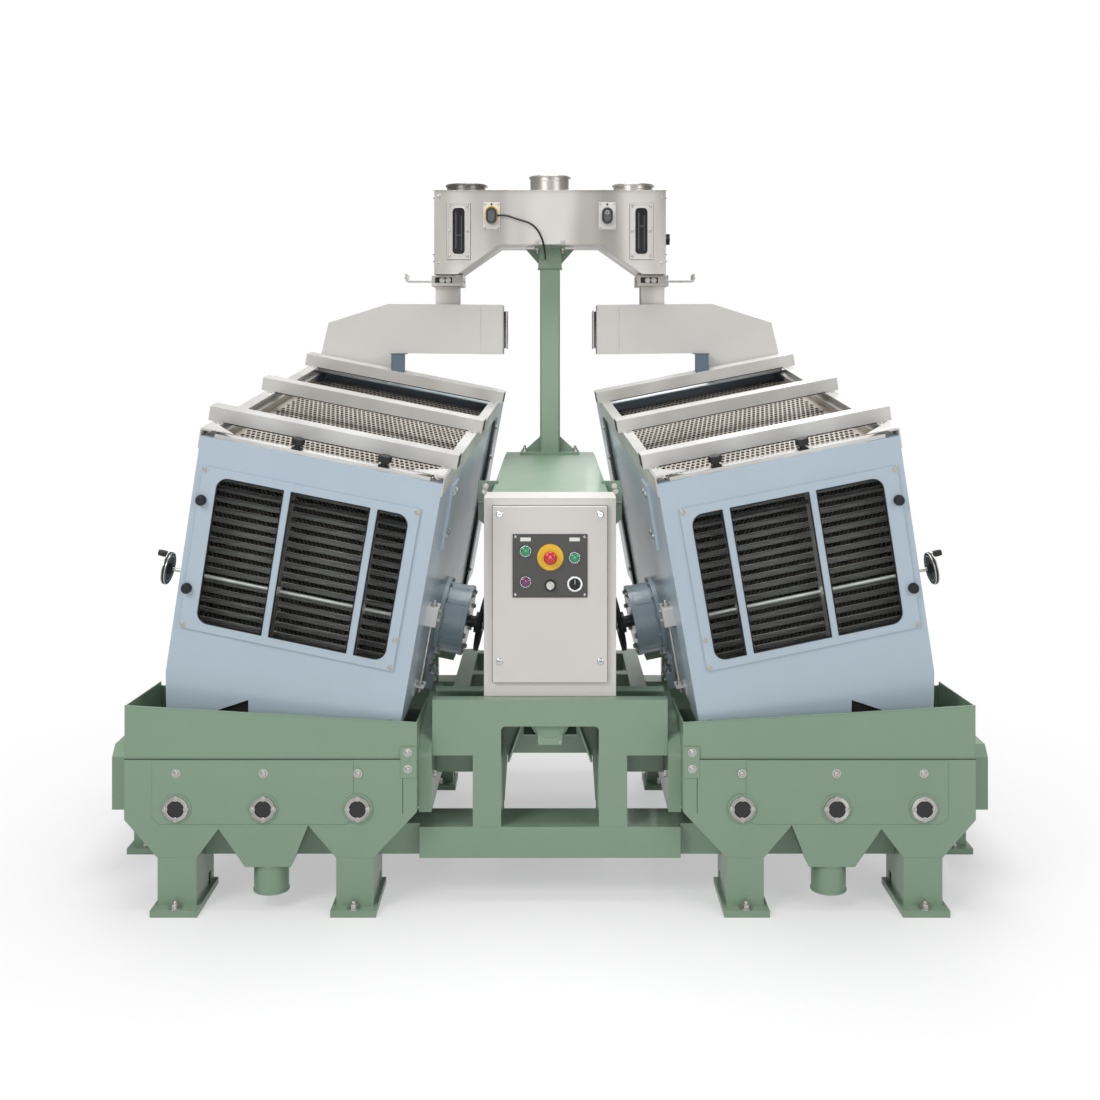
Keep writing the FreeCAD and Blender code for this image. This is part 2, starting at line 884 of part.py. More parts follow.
def leg_spans():
    """Return x and y spans, foot overhangs and tops of the left half's legs."""
    spans = []
    for outer, inner in (outer_flat, inner_flat):
        spans.append((-outer, -inner, 0.0, leg_depth, flat_bottom))
    rear_end = rear_beam_y + rear_beam_width
    for outer in rear_leg_stations:
        spans.append((-outer - rear_leg_width, -outer, rear_beam_y, rear_end, side_beam_foot))
    side_inner = -hopper_outer - side_leg_inset
    side_rear = side_leg_y + rear_leg_width
    spans.append((side_inner - rear_leg_width, side_inner, side_leg_y, side_rear, side_beam_foot))
    return spans


def legs():
    """Build the left half's legs and foot plates."""
    solids = []
    for x0, x1, y0, y1, top in leg_spans():
        leg = hollow_leg(x0, x1, y0, y1, top)
        if top == flat_bottom:
            leg = leg.cut(block(x0, x1, throat_depth + sheet, y1, beam_foot, top))
        notch_rear = y1 - leg_notch
        notch = block(x0 - clear, x1 + clear, notch_rear - leg_notch, notch_rear, foot_thick, leg_notch_top)
        solids.append(leg.cut(notch))
        solids.append(foot_plate(x0 - foot_margin, x1 + foot_margin, y0 - foot_toe, y1 + foot_margin))
    return solids


def anchor_bolts():
    """Build the left half's anchor bolts, each with a nut and a short stud."""
    solids = []
    for x0, x1, front, *_ in leg_spans():
        seat = Vector((x0 + x1) / 2, front - foot_toe + anchor_setback, foot_thick)
        stud_length = foot_thick + anchor_head_height + anchor_stud
        stud = rod(Vector(seat.x, seat.y, 0), UPWARD, anchor_radius, stud_length)
        head = hexagon(seat, UPWARD, anchor_head, anchor_head_height)
        solids.append(stud.fuse(head))
    return solids


def cheek_bolts():
    """Build the bolts on the inner face of the left cheek."""
    face = -hopper_inner + cheek_thick
    seats = [Vector(face, y, z) for y, z in cheek_bolt_places]
    return [hexagon(seat, ACROSS, anchor_head, anchor_head_height) for seat in seats]


def pivot_places(name):
    """Return the top and bottom pivot of a rocker in the deck's directions, along and up."""
    along = rocker_stations[name]
    tilt = math.radians(rocker_tilt)
    top = (along, -top_pivot_drop)
    bottom = (along - rocker_length * math.sin(tilt), -top_pivot_drop - rocker_length * math.cos(tilt))
    return top, bottom


def arm_starts():
    """Return where the two arms of a rocker start across the deck."""
    return rocker_arm_gap, deck_width - rocker_arm_gap - rocker_arm_thick


def rocker(name):
    """Build one rocker: two arms with eyes, a joining tube and four stub pins."""
    top, bottom = pivot_places(name)
    pieces = []
    for start in arm_starts():
        inward = 1 if start < deck_width / 2 else -1
        for along, height in (top, bottom):
            pieces.append(rod(Vector(start, along, height), ACROSS, rocker_eye, rocker_arm_thick))
            pin_start = start + rocker_arm_thick if inward > 0 else start - lug_gap - lug_thick
            pieces.append(rod(Vector(pin_start, along, height), ACROSS, pivot_pin, lug_gap + lug_thick))
        lean = math.radians(rocker_tilt)
        side = (rocker_web * math.cos(lean), rocker_web * math.sin(lean))
        web = [
            (top[0] - side[0], top[1] + side[1]),
            (top[0] + side[0], top[1] - side[1]),
            (bottom[0] + side[0], bottom[1] - side[1]),
            (bottom[0] - side[0], bottom[1] + side[1]),
        ]
        pieces.append(along_x(web, start, start + rocker_arm_thick))
    first, last = arm_starts()
    middle = Vector(first + rocker_arm_thick, (top[0] + bottom[0]) / 2, (top[1] + bottom[1]) / 2)
    pieces.append(rod(middle, ACROSS, rocker_tube, last - first - rocker_arm_thick))
    solid = pieces[0].fuse(pieces[1:]).removeSplitter()
    bore_start = middle - Vector(rocker_arm_thick + clear, 0, 0)
    bore_length = last - first + rocker_arm_thick + 2 * clear
    return on_deck(solid.cut(rod(bore_start, ACROSS, rocker_tube_bore, bore_length)))


def lug(start, along, height, seat, radial_gap):
    """Build one lug with a round eye, reaching from the pivot to its seat level."""
    eye = rod(Vector(start, along, height), ACROSS, lug_eye, lug_thick)
    low, high = sorted((height, seat))
    stem = block(start, start + lug_thick, along - lug_eye, along + lug_eye, low, high)
    bore = rod(Vector(start, along, height), ACROSS, pivot_pin + radial_gap, lug_thick)
    return eye.fuse(stem).removeSplitter().cut(bore)


def lug_starts():
    """Return where the two lugs beside the rocker arms start across the deck."""
    first, last = arm_starts()
    return first + rocker_arm_thick + lug_gap, last - lug_gap - lug_thick


def bed_top():
    """Return the level of the bed beams' top below the deck's underside."""
    return pivot_places("front")[1][1] - lug_eye - lug_stand


def bed_frames():
    """Build the left tilted bed beams with their lugs, and the upright posts that carry them."""
    solids = []
    top = bed_top()
    foot = top - bed_beam_height
    for name in rocker_stations:
        bottom = pivot_places(name)[1]
        half = bed_beam_depth / 2
        beam = box_tube(
            -bed_reach_outer, deck_width + bed_reach_inner, bottom[0] - half, bottom[0] + half,
            foot, top, tube_wall, ACROSS,
        )
        solids.append(on_deck(beam))
        for start in lug_starts():
            solids.append(on_deck(lug(start, bottom[0], bottom[1], top, running_gap)))
        beam_top_level = cross_beam_top if name == "front" else side_beam_top
        for x in post_stations:
            along = deck_point(x_on_deck(-x), bottom[0], foot).y
            post = block(
                -x - post_width / 2, -x + post_width / 2, along - post_depth / 2, along + post_depth / 2,
                beam_top_level, reach,
            )
            solids.append(post.cut(above_deck_level(foot)))
    return solids


def x_on_deck(x):
    """Return roughly how far across the deck a place of the machine lies."""
    return (x - deck_corner.x) / math.cos(math.radians(deck_lean))


def front_outline():
    """Return the outline of the deck's front panel with its stepped skirt."""
    low_outer = (skirt_outer_inset, -skirt_outer_drop)
    low_mid = (skirt_notch[0][0], -skirt_outer_drop + skirt_foot_rise)
    return [(0, deck_height), (0, 0), low_outer, low_mid] + list(skirt_notch) + list(skirt_inner) + [
        (deck_width, deck_height),
    ]


def deck_casing():
    """Build the left deck's folded casing, its subframe, lugs and spindle bushes."""
    length = deck_length
    outer_profile = [
        (sheet, deck_height), (sheet, skirt_side_rise - skirt_outer_drop),
        (skirt_depth, -skirt_outer_drop / 2), (skirt_depth, 0), (length, 0), (length, deck_height),
    ]
    inner_profile = [
        (sheet, deck_height), (sheet, -skirt_side_rise), (skirt_depth, -skirt_side_rise), (skirt_depth, 0),
        (length, 0), (length, deck_height),
    ]
    outer = along_x(outer_profile, 0, sheet)
    inner = along_x(inner_profile, deck_width - sheet, deck_width)
    skirt_plane = prism(
        [Vector(0, 0, 0), Vector(skirt_outer_inset, 0, -skirt_outer_drop), Vector(0, 0, -skirt_outer_drop)],
        Vector(0, skirt_depth + clear, 0),
    )
    outer = outer.cut(skirt_plane)
    front = along_y(front_outline(), 0, sheet)
    opening = block(
        window_left - pane_margin, window_right + pane_margin, 0, sheet,
        window_foot - pane_margin / 2, window_head + pane_margin / 2,
    )
    front = front.cut(opening)
    span = (sheet, deck_width - sheet)
    floor = block(span[0], span[1], skirt_depth, length - sheet, 0, sheet)
    rear = block(span[0], span[1], length - sheet, length, 0, deck_height)
    flange = block(span[0], span[1], sheet, sheet + front_flange, deck_height - sheet, deck_height)
    lid_start = length - inlet_chamber
    lid = block(span[0], span[1], lid_start, length - sheet, deck_height - sheet, deck_height)
    spacers = []
    for x in (span[0] + tray_side_gap, span[1] - tray_side_gap - 3 * tray_bar):
        spacers.append(block(x, x + 3 * tray_bar, skirt_depth, tray_rear, sheet, tray_base))
    solids = [outer, inner, front, floor, rear, flange] + spacers
    placed = [on_deck(solid) for solid in solids]
    placed.extend(around_hole(on_deck(lid), hood_mouth()))
    for name in rocker_stations:
        placed.extend(subframe(name))
    placed.extend(on_deck(solid) for solid in spindle_supports())
    hole_start = Vector(-clear, spindle_along, spindle_height)
    placed[0] = placed[0].cut(on_deck(rod(hole_start, ACROSS, spindle_radius + 2 * clear, deck_width)))
    return placed


def hood_mouth():
    """Return the sides, front and rear of the hole in the deck's lid below the hood's skirt."""
    margin = inlet_mouth_margin
    left = -hood_skirt_left[0] + margin
    right = -hood_skirt_right[0] - margin
    return left, right, hood_front + margin, hood_rear - margin


def around_hole(panel, hole):
    """Split a panel into the four pieces round an upright rectangular hole."""
    left, right, front, rear = hole
    spans = [
        (-reach, left, -reach, reach),
        (right, reach, -reach, reach),
        (left, right, -reach, front),
        (left, right, rear, reach),
    ]
    return [panel.common(block(x0, x1, y0, y1, 0, reach)) for x0, x1, y0, y1 in spans]


def subframe(name):
    """Build the channel under the deck floor at a rocker, with its two lugs."""
    along, height = pivot_places(name)[0]
    half = subframe_depth / 2
    beam = box_tube(
        subframe_margin, deck_width - subframe_margin, along - half, along + half,
        -subframe_height, 0, tube_wall, ACROSS,
    )
    radial = running_gap if name == "front" else open_pivot_gap
    solids = [beam] + [lug(start, along, height, -subframe_height, radial) for start in lug_starts()]
    return [on_deck(solid) for solid in solids]


def spindle_supports():
    """Build the bushes of the divider spindle and the guide rod above it."""
    inner_face = deck_width - sheet
    bore = spindle_radius + running_gap
    outer_bush = pipe(Vector(sheet, spindle_along, spindle_height), ACROSS, bush_radius, bore, bush_length)
    inner_seat = Vector(inner_face - bush_length, spindle_along, spindle_height)
    inner_bush = pipe(inner_seat, ACROSS, bush_radius, bore, bush_length)
    guide = rod(Vector(sheet, spindle_along, guide_height), ACROSS, guide_radius, inner_face - sheet)
    return [outer_bush, inner_bush, guide]


def window_cover():
    """Build the raised front cover with its three windows."""
    solid = block(cover_left, cover_right, -window_cover_thick, 0, cover_low, cover_high)
    edges = [window_left] + [edge for pair in mullions for edge in pair] + [window_right]
    for left, right in zip(edges[0::2], edges[1::2]):
        hole = block(left, right, -window_cover_thick, 0, window_foot, window_head)
        outer_edge = left if left == window_left else right if right == window_right else None
        if outer_edge is not None:
            chosen = [
                edge for edge in hole.Edges
                if abs(edge.CenterOfMass.x - outer_edge) < clear and edge.BoundBox.YLength > clear
            ]
            hole = hole.makeFillet(window_corner, chosen)
        solid = solid.cut(hole)
    return on_deck(solid)


def window_pane():
    """Build the clear pane behind the windows."""
    margin = pane_margin - clear
    return on_deck(block(
        window_left - margin, window_right + margin, 0, pane_thick,
        window_foot - margin / 2, window_head + margin / 2,
    ))


def trays():
    """Build the stack of trays: each a lipped sheet with a spacer bar at either side."""
    left = sheet + tray_side_gap
    right = deck_width - left
    solids = []
    for level in range(tray_count):
        foot = tray_base + level * tray_pitch
        top = foot + tray_sheet
        profile = [(tray_front, top), (tray_rear, top), (tray_rear, foot)]
        if level:
            lip_foot = top - tray_lip
            lip_back = tray_front + tray_sheet
            profile += [(lip_back, foot), (lip_back, lip_foot), (tray_front, lip_foot)]
        else:
            profile.append((tray_front, foot))
        solids.append(along_x(profile, left, right))
        bar_front = tray_front + tray_sheet
        for x in (left, right - tray_bar):
            solids.append(block(x, x + tray_bar, bar_front, tray_rear, top, foot + tray_pitch))
    return [on_deck(solid) for solid in solids]


def top_frame():
    """Build the side rails, crossbars, corner gussets and front clamp bar."""
    top = deck_height + rail_rise
    stack_top = tray_base + tray_count * tray_pitch
    outer_angle = [
        (-rail_sheet, deck_height - rail_drop), (-rail_sheet, top), (rail_reach, top),
        (rail_reach, top - rail_sheet), (0, top - rail_sheet), (0, deck_height - rail_drop),
    ]
    inner_angle = [
        (sheet, stack_top), (sheet, top - rail_sheet), (sheet + rail_sheet, top - rail_sheet),
        (sheet + rail_sheet, stack_top + rail_sheet), (rail_reach + rail_sheet, stack_top + rail_sheet),
        (rail_reach + rail_sheet, stack_top),
    ]
    rail_end = tray_rear
    start = sheet + front_flange
    solids = []
    for profile, front in ((outer_angle, 0), (inner_angle, start)):
        solids.append(along_y(profile, front, rail_end))
        solids.append(along_y([(deck_width - x, z) for x, z in profile], front, rail_end))
    wide = deck_width + crossbar_overhang
    for y in crossbar_stations:
        end = y + crossbar_depth
        bar_top = top + crossbar_height
        solids.append(box_tube(-crossbar_overhang, wide, y, end, top, bar_top, crossbar_wall, ACROSS))
    corner = [(0, 0), (gusset_leg, 0), (0, gusset_leg)]
    for points in (corner, [(deck_width - x, y) for x, y in corner]):
        solids.append(along_z(points, top, top + gusset_thick))
    x0, x1, y0, y1 = clamp_bar
    solids.append(block(x0, x1, y0, y1, deck_height, deck_height + clamp_bar_thick))
    return [on_deck(solid) for solid in solids]


def deck_knobs():
    """Build the black knobs of the front cover and the clamp bar."""
    solids = []
    x0, x1, y0, y1 = clamp_bar
    seat_level = deck_height + clamp_bar_thick
    for x in top_knob_stations:
        seat = Vector(x, (y0 + y1) / 2, seat_level)
        stem = rod(seat, UPWARD, knob_stem, top_knob_height)
        head_seat = seat + Vector(0, 0, top_knob_height / 2)
        head = rod(head_seat, UPWARD, top_knob_radius, top_knob_height / 2)
        solids.append(stem.fuse(head).removeSplitter())
    for x, z in cover_knobs:
        seat = Vector(x, -window_cover_thick, z)
        knob = Part.makeCone(cover_knob_radius, cover_knob_tip, cover_knob_height, seat, -REARWARD)
        solids.append(knob)
    return [on_deck(solid) for solid in solids]


def drum_axis_point(offset):
    """Return a point on the drive axis, counted inwards from the deck's inner face."""
    return Vector(deck_width + offset, drum_along, drum_height)


def drum_profile():
    """Return the half section of the drum as distances along and from the axis."""
    bore = shaft_radius + running_gap
    barrel_start = flange_thick
    barrel_end = barrel_start + barrel_length
    cover_end = barrel_end + drum_cover_thick
    inner = barrel_radius - barrel_wall
    return [
        (0, 0), (0, flange_radius), (flange_thick, flange_radius), (flange_thick, barrel_radius),
        (cover_end, barrel_radius), (cover_end, bore), (barrel_end - bearing_width / 2, bore),
        (barrel_end - bearing_width / 2, bearing_radius), (barrel_end, bearing_radius),
        (barrel_end, inner), (barrel_start, inner), (barrel_start, bearing_radius),
        (barrel_start + bearing_width / 2, bearing_radius), (barrel_start + bearing_width / 2, bore),
        (shaft_start - clear, bore), (shaft_start - clear, 0),
    ]


def revolved(profile):
    """Revolve a half section about the drive axis."""
    start = drum_axis_point(0)
    corners = [start + Vector(along, 0, away) for along, away in profile]
    outline = Part.makePolygon(corners + [corners[0]])
    return Part.Face(outline).revolve(start, ACROSS, 360)


def drive_drum():
    """Build the drum: a flange bolted to the deck, a hollow barrel and two bearing seats."""
    return on_deck(revolved(drum_profile()))


def drive_shaft():
    """Build the shaft with its counterweight, flywheel disc and end nut."""
    end = disc_place + disc_thick + nut_thick + 2 * clear
    profile = [
        (shaft_start, 0), (shaft_start, shaft_radius),
        (disc_place - disc_hub, shaft_radius), (disc_place - disc_hub, disc_hub_radius),
        (disc_place, disc_hub_radius), (disc_place, disc_radius), (disc_place + disc_thick, disc_radius),
        (disc_place + disc_thick, shaft_thread), (end, shaft_thread), (end, 0),
    ]
    shaft = revolved(profile)
    seat = drum_axis_point(weight_place)
    weight = rod(seat, ACROSS, weight_radius, weight_thick)
    upper = block(
        deck_width, deck_width + reach, drum_along - reach, drum_along + reach,
        drum_height - shaft_radius / 2, drum_height + reach,
    )
    weight = weight.cut(upper)
    weight.rotate(drum_axis_point(0), ACROSS, -deck_rise)
    nut = hexagon(drum_axis_point(disc_place + disc_thick), ACROSS, nut_across, nut_thick)
    return on_deck(shaft.fuse([weight, nut]))


def spindle():
    """Build the divider spindle with its handwheel and crank."""
    start = Vector(-wheel_place, spindle_along, spindle_height)
    shaft = rod(start, ACROSS, spindle_radius, wheel_place + deck_width - sheet - clear)
    hub = rod(start - Vector(wheel_hub_length / 2, 0, 0), ACROSS, wheel_hub, wheel_hub_length)
    rim_start = start - Vector(wheel_rim, 0, 0)
    rim = pipe(rim_start, ACROSS, wheel_radius + wheel_rim, wheel_radius - wheel_rim, 2 * wheel_rim)
    pieces = [hub, rim]
    for index in range(spoke_count):
        angle = math.radians(90 + 360 / spoke_count * index)
        direction = Vector(0, math.cos(angle), math.sin(angle))
        pieces.append(rod(start, direction, wheel_spoke, wheel_radius))
    crank_seat = start + Vector(-crank_length, 0, wheel_radius)
    crank = Part.makeCone(crank_radius, crank_tip, crank_length, crank_seat, ACROSS)
    return on_deck(shaft.fuse(pieces + [crank]))


def dividers():
    """Build the two divider gates, each with a nut on the spindle and an eye on the guide rod."""
    solids = []
    for left, right in mullions:
        mid = (left + right) / 2
        start = mid - gate_thick / 2
        blade = block(start, start + gate_thick, gate_front, gate_rear, gate_foot, gate_head)
        nut = rod(
            Vector(mid - gate_nut_length / 2, spindle_along, spindle_height), ACROSS,
            gate_nut_radius, gate_nut_length,
        )
        gate = blade.fuse(nut)
        for height, radius in ((spindle_height, spindle_radius), (guide_height, guide_radius)):
            start = Vector(mid - gate_nut_length, spindle_along, height)
            gate = gate.cut(rod(start, ACROSS, radius + running_gap, 2 * gate_nut_length))
        solids.append(on_deck(gate))
    return solids


def side_fittings():
    """Build the fittings on the deck's inner side: corner post, latch, plates and bracket."""
    face = deck_width
    y0, y1 = post_strip
    post = block(face, face + post_strip_thick, y0, y1, post_strip_foot, deck_height - rail_drop)
    la, lb = latch_along
    lc, ld = latch_height
    latch = block(face, face + latch_depth, la, lb, lc, ld)
    rod_seat = Vector(face + latch_depth / 2, lb, (lc + ld) / 2)
    latch_stem = rod(rod_seat, REARWARD, latch_rod, latch_rod_reach)
    nut = hexagon(rod_seat + REARWARD * anchor_head_height, REARWARD, anchor_head, anchor_head_height)
    latch = latch.fuse([latch_stem, nut])
    pa, pb = side_plate_along
    side = block(
        face, face + side_plate_thick, pa, pb, side_plate_top - side_plate_tall, side_plate_top,
    )
    ba, bb = lower_bracket_along
    bc, bd = lower_bracket_height
    flat = block(face, face + side_plate_thick, ba, bb, bc, lower_bracket_top)
    shelf = block(face + side_plate_thick, face + lower_bracket_depth, ba, bb, bc, bd)
    return [on_deck(solid) for solid in (post, latch, side, flat, shelf)]


def hood_outline():
    """Return the hood's front outline, walked so that its sheet lies inside."""
    points = [
        hood_skirt_left, hood_left_shoulder, hood_left_peak, hood_right_peak,
        hood_right_foot, hood_throat, hood_skirt_right,
    ]
    return [(-distance, height) for distance, height in points]


def inlet_hood():
    """Build the level inlet hood over the rear of the leaning deck."""
    points = hood_outline()
    front_low = [points[0], points[1], points[5], points[6]]
    front_high = [points[1], points[2], points[3], points[4], points[5]]
    solids = []
    for y in (hood_front, hood_rear - hood_sheet):
        solids.append(along_y(front_low, y, y + hood_sheet))
        solids.append(along_y(front_high, y, y + hood_sheet))
    span = (hood_front + hood_sheet, hood_rear - hood_sheet)
    strips = mitred_strips(points, hood_sheet)
    outer_skirt, slope, roof, end, floor, inner_skirt = [along_y(strip, *span) for strip in strips]
    solids.extend([outer_skirt, slope, floor, inner_skirt])
    solids.extend(around_hole(roof, duct_hole()))
    solids.append(hood_strut())
    solids.extend(window_rim(end))
    cut = below_deck_level(deck_height)
    return [solid.cut(cut) for solid in solids]


def duct_hole():
    """Return the sides, front and rear of the hole in the hood's roof round the feeder duct."""
    half = duct_half_depth + duct_gap
    return -duct_outer - duct_gap, -leg_inner + duct_gap, feeder_mid - half, feeder_mid + half


def hood_strut():
    """Build the strut that carries the hood's overhang on the rear crossbar."""
    left, right = hood_strut_span
    middle = x_on_deck(-(left + right) / 2)
    bar_top = deck_height + rail_rise + crossbar_height
    rear = deck_point(middle, crossbar_stations[-1] + crossbar_depth, bar_top).y
    solid = block(-left, -right, rear - hood_strut_depth, rear, 0, reach)
    (high_x, high_z), (low_x, low_z) = hood_throat, hood_right_foot
    above = along_y([(-high_x, high_z), (-low_x, low_z), (-low_x, reach), (-high_x, reach)], 0, reach)
    return solid.cut([above, below_deck_level(bar_top)])


def window_rim(end):
    """Split the hood's end into the four bars round its window."""
    box = end.BoundBox
    rim = hood_end_rim
    bars = [
        (box.YMin, box.YMax, box.ZMin, box.ZMin + 2 * rim),
        (box.YMin, box.YMax, box.ZMax - 2 * rim, box.ZMax),
        (box.YMin, box.YMin + rim, box.ZMin + 2 * rim, box.ZMax - 2 * rim),
        (box.YMax - rim, box.YMax, box.ZMin + 2 * rim, box.ZMax - 2 * rim),
    ]
    return [end.common(block(-reach, reach, y0, y1, z0, z1)) for y0, y1, z0, z1 in bars]


def feeder_casing():
    """Build the stainless bridge from its folded panels, with frames, gate boxes and ducts."""
    front = feeder_mid - feeder_depth / 2
    rear = feeder_mid + feeder_depth / 2
    shoulder = [
        (-feeder_half, feeder_top), (-feeder_half, gate_top), (-leg_inner, gate_top),
        (-arch_half, arch_top), (-arch_half, feeder_top),
    ]
    mirrored_shoulder = [(-x, z) for x, z in shoulder]
    solids = []
    for y in (front, rear - sheet):
        solids.append(along_y(shoulder, y, y + sheet))
        solids.append(along_y(mirrored_shoulder, y, y + sheet))
        solids.append(block(-arch_half, arch_half, y, y + sheet, arch_top, feeder_top))
    inside = (front + sheet, rear - sheet)
    arch = [(-leg_inner, gate_top), (-arch_half, arch_top), (arch_half, arch_top), (leg_inner, gate_top)]
    for strip in mitred_strips(arch[::-1], sheet):
        solids.append(along_y(strip, *inside))
    lid = block(-feeder_half, feeder_half, inside[0], inside[1], feeder_top - sheet, feeder_top)
    for x, _ in spigot_list():
        lid = lid.cut(rod(Vector(x, feeder_mid, feeder_top - sheet), UPWARD, spigot_bore, sheet))
    solids.append(lid)
    side = block(-feeder_half, -feeder_half + sheet, inside[0], inside[1], gate_top, feeder_top - sheet)
    left = [side] + gate_box() + duct() + [feeder_window_frame(front)]
    solids.extend(both_sides(left))
    for x in sensor_x:
        width, height = sensor_plate
        solids.append(block(
            x - width / 2, x + width / 2, front - sensor_plate_thick, front,
            sensor_z - height / 2, sensor_z + height / 2,
        ))
    return solids


def spigot_list():
    """Return the place across the machine and the top of each inlet spigot."""
    middle, side = spigot_places
    return [(-side, side_spigot_top), (middle, centre_spigot_top), (side, side_spigot_top)]


def inlet_spigots():
    """Build the three round inlets with their rolled rims."""
    solids = []
    for x, top in spigot_list():
        length = top - feeder_top
        tube = pipe(Vector(x, feeder_mid, feeder_top), UPWARD, spigot_radius, spigot_bore, length)
        rim_seat = Vector(x, feeder_mid, top - 2 * spigot_rim)
        rim = pipe(rim_seat, UPWARD, spigot_radius + spigot_rim, spigot_radius, 2 * spigot_rim)
        solids.append(tube.fuse(rim))
    return solids


def gate_box():
    """Build the left gate box: side bars that leave a slot for the slide and a clear duct."""
    front = feeder_mid - gate_half_depth
    rear = feeder_mid + gate_half_depth
    duct_front = feeder_mid - duct_half_depth + sheet
    duct_rear = feeder_mid + duct_half_depth - sheet
    slot_low = slide_height - slide_gap
    slot_high = slide_height + slide_thick + slide_gap
    inner = -leg_inner - sheet
    outer = -duct_outer + sheet
    solids = []
    for low, high in ((gate_low, slot_low), (slot_high, gate_top)):
        solids.append(block(-gate_outer, -gate_inner, front, duct_front, low, high))
        solids.append(block(-gate_outer, -gate_inner, duct_rear, rear, low, high))
        solids.append(block(-gate_outer, outer, duct_front, duct_rear, low, high))
        solids.append(block(inner, -gate_inner, duct_front, duct_rear, low, high))
    slot_side = feeder_mid - slide_half_depth - slide_gap
    mirrored_side = feeder_mid + slide_half_depth + slide_gap
    solids.append(block(-gate_outer, -gate_inner, front, slot_side, slot_low, slot_high))
    solids.append(block(-gate_outer, -gate_inner, mirrored_side, rear, slot_low, slot_high))
    return solids


def duct():
    """Build the left duct below the gate box, which hangs into the hood."""
    front = feeder_mid - duct_half_depth
    rear = feeder_mid + duct_half_depth
    return [
        block(-duct_outer, -leg_inner, front, front + sheet, duct_foot, gate_low),
        block(-duct_outer, -leg_inner, rear - sheet, rear, duct_foot, gate_low),
        block(-duct_outer, -duct_outer + sheet, front + sheet, rear - sheet, duct_foot, gate_low),
        block(-leg_inner - sheet, -leg_inner, front + sheet, rear - sheet, duct_foot, gate_low),
    ]


def feeder_window_frame(front):
    """Build the left window frame on the bridge's front."""
    half = window_frame_width / 2
    tall = window_frame_height / 2
    frame = block(
        -window_frame_x - half, -window_frame_x + half, front - window_frame_thick, front,
        window_frame_mid - tall, window_frame_mid + tall,
    )
    return frame.cut(feeder_window(front))


def feeder_window(front):
    """Return the left window glass, rounded at its ends."""
    half = window_glass_width / 2
    tall = window_glass_height / 2
    glass = block(
        -window_frame_x - half, -window_frame_x + half, front - window_frame_thick, front,
        window_frame_mid - tall, window_frame_mid + tall,
    )
    return rounded_upright(glass, REARWARD, window_glass_corner)


def slide_gate():
    """Build the left slide gate, drawn out, with its upturned handle."""
    inner = -duct_outer
    outer = inner - slide_travel - slide_handle
    front = feeder_mid - slide_half_depth
    rear = feeder_mid + slide_half_depth
    low = slide_height
    blade = block(outer, inner, front, rear, low, low + slide_thick)
    handle = block(outer - slide_thick, outer, front, rear, low, low + slide_handle_rise)
    return blade.fuse(handle)


def level_sensors():
    """Build the two oval level sensors and the left one's cable gland."""
    front = feeder_mid - feeder_depth / 2 - sensor_plate_thick
    width, height = sensor_body
    solids = []
    for x in sensor_x:
        body = block(
            x - width / 2, x + width / 2, front - sensor_body_depth, front,
            sensor_z - height / 2, sensor_z + height / 2,
        )
        solids.append(rounded_upright(body, REARWARD, width / 2 - clear))
    return solids


def cable_path(points):
    """Return the cable's edges: straight runs joined by tangent arcs, and print the radii."""
    corners = [Vector(*point) for point in points]
    edges = []
    start = corners[0]
    for before, corner, after in zip(corners, corners[1:], corners[2:]):
        way_in = (corner - before).normalize()
        way_out = (after - corner).normalize()
        turn = way_in.getAngle(way_out)
        shorter = min((corner - before).Length, (after - corner).Length)
        setback = cable_setback * shorter
        radius = setback / math.tan(turn / 2)
        print("cable radius", round(radius, 1), "diameters", round(radius / (2 * cable_radius), 1))
        first = corner - way_in * setback
        last = corner + way_out * setback
        inward = (way_out - way_in).normalize()
        middle = corner + inward * (radius / math.cos(turn / 2) - radius)
        edges.append(Part.LineSegment(start, first).toShape())
        edges.append(Part.Arc(first, middle, last).toShape())
        start = last
    edges.append(Part.LineSegment(start, corners[-1]).toShape())
    return edges


def sensor_cable():
    """Build the level sensor's cable as a plain tube along its route."""
    edges = cable_path(cable_route)
    wire = Part.Wire(edges)
    start = Vector(*cable_route[0])
    heading = (Vector(*cable_route[1]) - start).normalize()
    ring = Part.Wire(Part.makeCircle(cable_radius, start, heading))
    tube = wire.makePipeShell([ring], True, True)
    expected = math.pi * cable_radius ** 2 * wire.Length
    print("cable length", round(wire.Length, 1), "volume share", round(tube.Volume / expected, 4))
    return tube


def star_knob():
    """Build the star knob on the bridge's right side."""
    seat = Vector(feeder_half + star_stem_length, feeder_mid, star_height)
    stem_seat = Vector(feeder_half + clear / 2, feeder_mid, star_height)
    stem = rod(stem_seat, ACROSS, star_stem, star_stem_length)
    head = rod(seat, ACROSS, star_radius - star_lobe, star_thick)
    lobes = []
    for index in range(star_lobes):
        angle = math.radians(360 / star_lobes * index)
        offset = Vector(0, math.cos(angle), math.sin(angle)) * (star_radius - star_lobe)
        lobes.append(rod(seat + offset, ACROSS, star_lobe, star_thick))
    return stem.fuse([head] + lobes)


